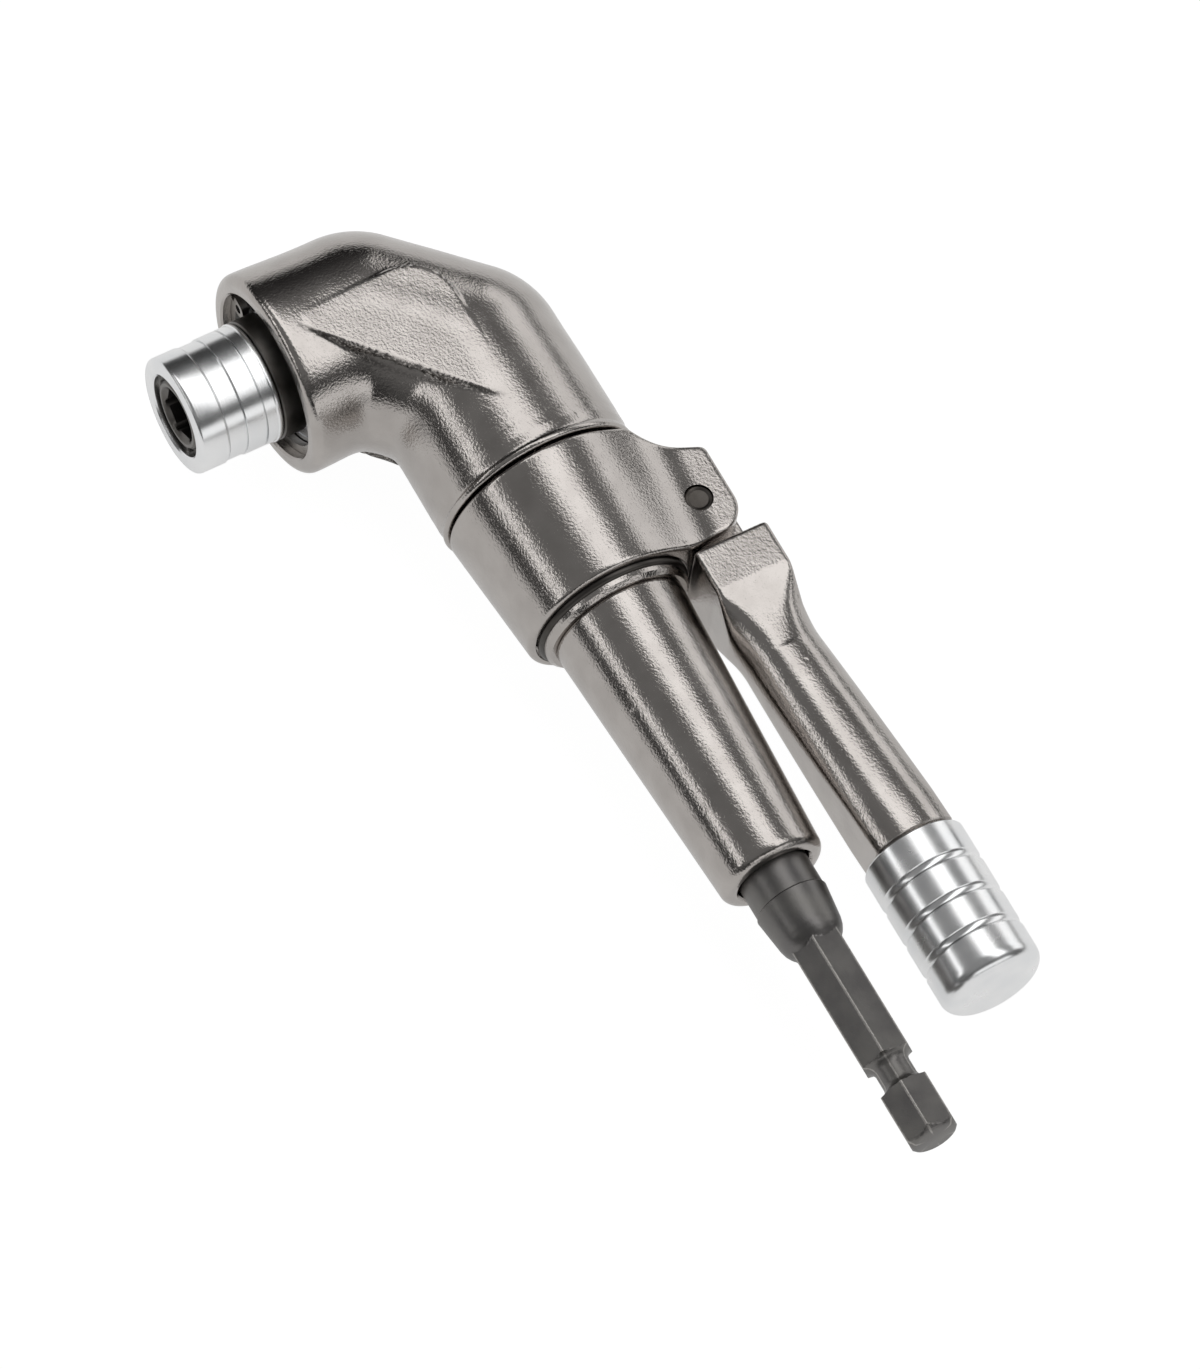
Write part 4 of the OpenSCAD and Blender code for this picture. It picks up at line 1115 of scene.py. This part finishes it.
@dataclass
class GearTrain:
    """Gears, bushes, washer and ball bearing inside, which keep their CAD shapes."""

    def build(self, frame: dict) -> None:
        """Gives each inner piece the finish of its metal."""
        refinish(frame, GEAR_STEEL, "input_pinion", "output_gear")
        refinish(frame, BRONZE, "lower_shaft_bush", "upper_shaft_bush", "spindle_tail_bush",
                 "pinion_thrust_washer", "bearing_cage")
        refinish(frame, BEARING_STEEL, "bearing_outer_race", "bearing_inner_race", "bearing_balls")


# ---- studio ----


@dataclass(frozen=True)
class Lamp:
    """A soft box: a rectangle of even light that looks at the piece."""

    name: str
    towards: Triple
    distance: float
    width: float
    height: float
    radiance: float

    def build(self, target: Vector) -> None:
        """Places the lamp in its direction from the target; a rectangle of that radiance sends
        out four times its area times the radiance."""
        data = bpy.data.lights.new(self.name, "AREA")
        data.shape = "RECTANGLE"
        data.size, data.size_y = self.width, self.height
        data.energy = 4 * self.width * self.height * self.radiance
        lamp = bpy.data.objects.new(self.name, data)
        away = Vector(self.towards).normalized()
        lamp.location = target + away * self.distance
        lamp.rotation_euler = (-away).to_track_quat("-Z", "Y").to_euler()
        bpy.context.scene.collection.objects.link(lamp)


@dataclass
class Studio:
    """White table, grey surroundings and a few soft boxes."""

    floor_z: float = -13.35
    lamps: tuple[Lamp, ...] = (
        Lamp("top_box", (0.10, -0.22, 0.95), 0.80, 1.65, 0.40, 1.1),
        Lamp("side_box", (0.25, -0.90, 0.38), 0.90, 1.20, 0.42, 0.8),
        Lamp("edge_strip", (0.30, 0.84, 0.44), 0.90, 1.00, 0.14, 1.3),
        Lamp("rear_box", (-0.93, -0.12, 0.24), 1.00, 1.10, 0.36, 0.8),
    )

    def build(self) -> None:
        """Makes the floor, the lamps and the world, and sets the plain view transform."""
        self.build_floor()
        for lamp in self.lamps:
            lamp.build(Vector((85 * MM, 0, 0)))
        self.build_world()
        bpy.context.scene.view_settings.view_transform = "Standard"

    def build_floor(self) -> None:
        """A large white table just under the part, bright to the camera and in reflections."""
        bpy.ops.mesh.primitive_plane_add(size=6, location=(0, 0, self.floor_z * MM - 0.0002))
        floor = bpy.context.object
        floor.name = "white_table"
        made = bpy.data.materials.new("white_table_paper")
        made.use_nodes = True
        tree = made.node_tree
        tree.nodes.clear()
        ray = add(tree, "LightPath").outputs
        mirrored = sums(tree, "MAXIMUM", ray["Is Glossy Ray"], ray["Is Transmission Ray"])
        mirrored = sums(tree, "MULTIPLY", mirrored, 0.5)
        part = sums(tree, "MULTIPLY_ADD", ray["Is Camera Ray"], 0.88, mirrored)
        paper = add(tree, "BsdfDiffuse", {"Color": linear("#f4f4f3")}).outputs[0]
        glow = add(tree, "Emission", {"Color": (1, 1, 1, 1), "Strength": 1.1}).outputs[0]
        mix = add(tree, "MixShader", {"Fac": part, 1: paper, 2: glow}).outputs[0]
        add(tree, "OutputMaterial", {"Surface": mix})
        floor.data.materials.append(made)

    def build_world(self) -> None:
        """Grey surroundings, darker towards the horizon and most of all at both ends of the shank
        axis, and white to the camera."""
        world = bpy.data.worlds.new("studio")
        world.use_nodes = True
        tree = world.node_tree
        tree.nodes.clear()
        ray = add(tree, "LightPath").outputs["Is Camera Ray"]
        way = add(tree, "SeparateXYZ", {0: add(tree, "NewGeometry").outputs["Incoming"]}).outputs
        high = spread(tree, sums(tree, "ABSOLUTE", way["Z"]), 0.05, 0.6, 0.05, 0.22)
        end = spread(tree, sums(tree, "ABSOLUTE", way["X"]), 0.6, 0.85, 1.0, 0.3)
        level = sums(tree, "MULTIPLY", high, end)
        grey = add(tree, "Background", {"Color": (1, 1, 1, 1), "Strength": level}).outputs[0]
        white = add(tree, "Background", {"Color": (1, 1, 1, 1), "Strength": 1.0}).outputs[0]
        mix = add(tree, "MixShader", {"Fac": ray, 1: grey, 2: white}).outputs[0]
        add(tree, "OutputWorld", {"Surface": mix})
        bpy.context.scene.world = world


@dataclass
class PhotoCamera:
    """Long lens above the part, rolled as in the photograph."""

    right: Triple = (-0.482, -0.872, 0.083)
    back: Triple = (-0.377, 0.293, 0.879)
    target: Triple = (73.38, 6.43, 0.0)
    distance: float = 4.0
    frame_height: float = 168.4
    sensor: float = 36.0

    def build(self) -> None:
        """Places the camera; its lens is the sensor times the distance over the frame height."""
        data = bpy.data.cameras.new("photo_camera")
        data.sensor_fit = "VERTICAL"
        data.sensor_height = self.sensor
        data.lens = self.sensor * self.distance / (self.frame_height * MM)
        data.clip_start, data.clip_end = 0.01, 40.0
        back = Vector(self.back).normalized()
        right = Vector(self.right)
        right = (right - back * right.dot(back)).normalized()
        up = back.cross(right)
        camera = bpy.data.objects.new("photo_camera", data)
        place = Vector(self.target) * MM + back * self.distance
        turn = Matrix((right, up, back)).transposed().to_4x4()
        camera.matrix_world = Matrix.Translation(place) @ turn
        bpy.context.scene.collection.objects.link(camera)
        bpy.context.scene.camera = camera


def main() -> None:
    import json

    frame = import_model()
    PhotoCamera().build()
    Housing().build()
    SwivelCollar().build()
    SideHandle().build()
    DriveShaft().build()
    BitHolder().build(frame)
    GearTrain().build(frame)
    Studio().build()


if __name__ == "__main__":
    main()
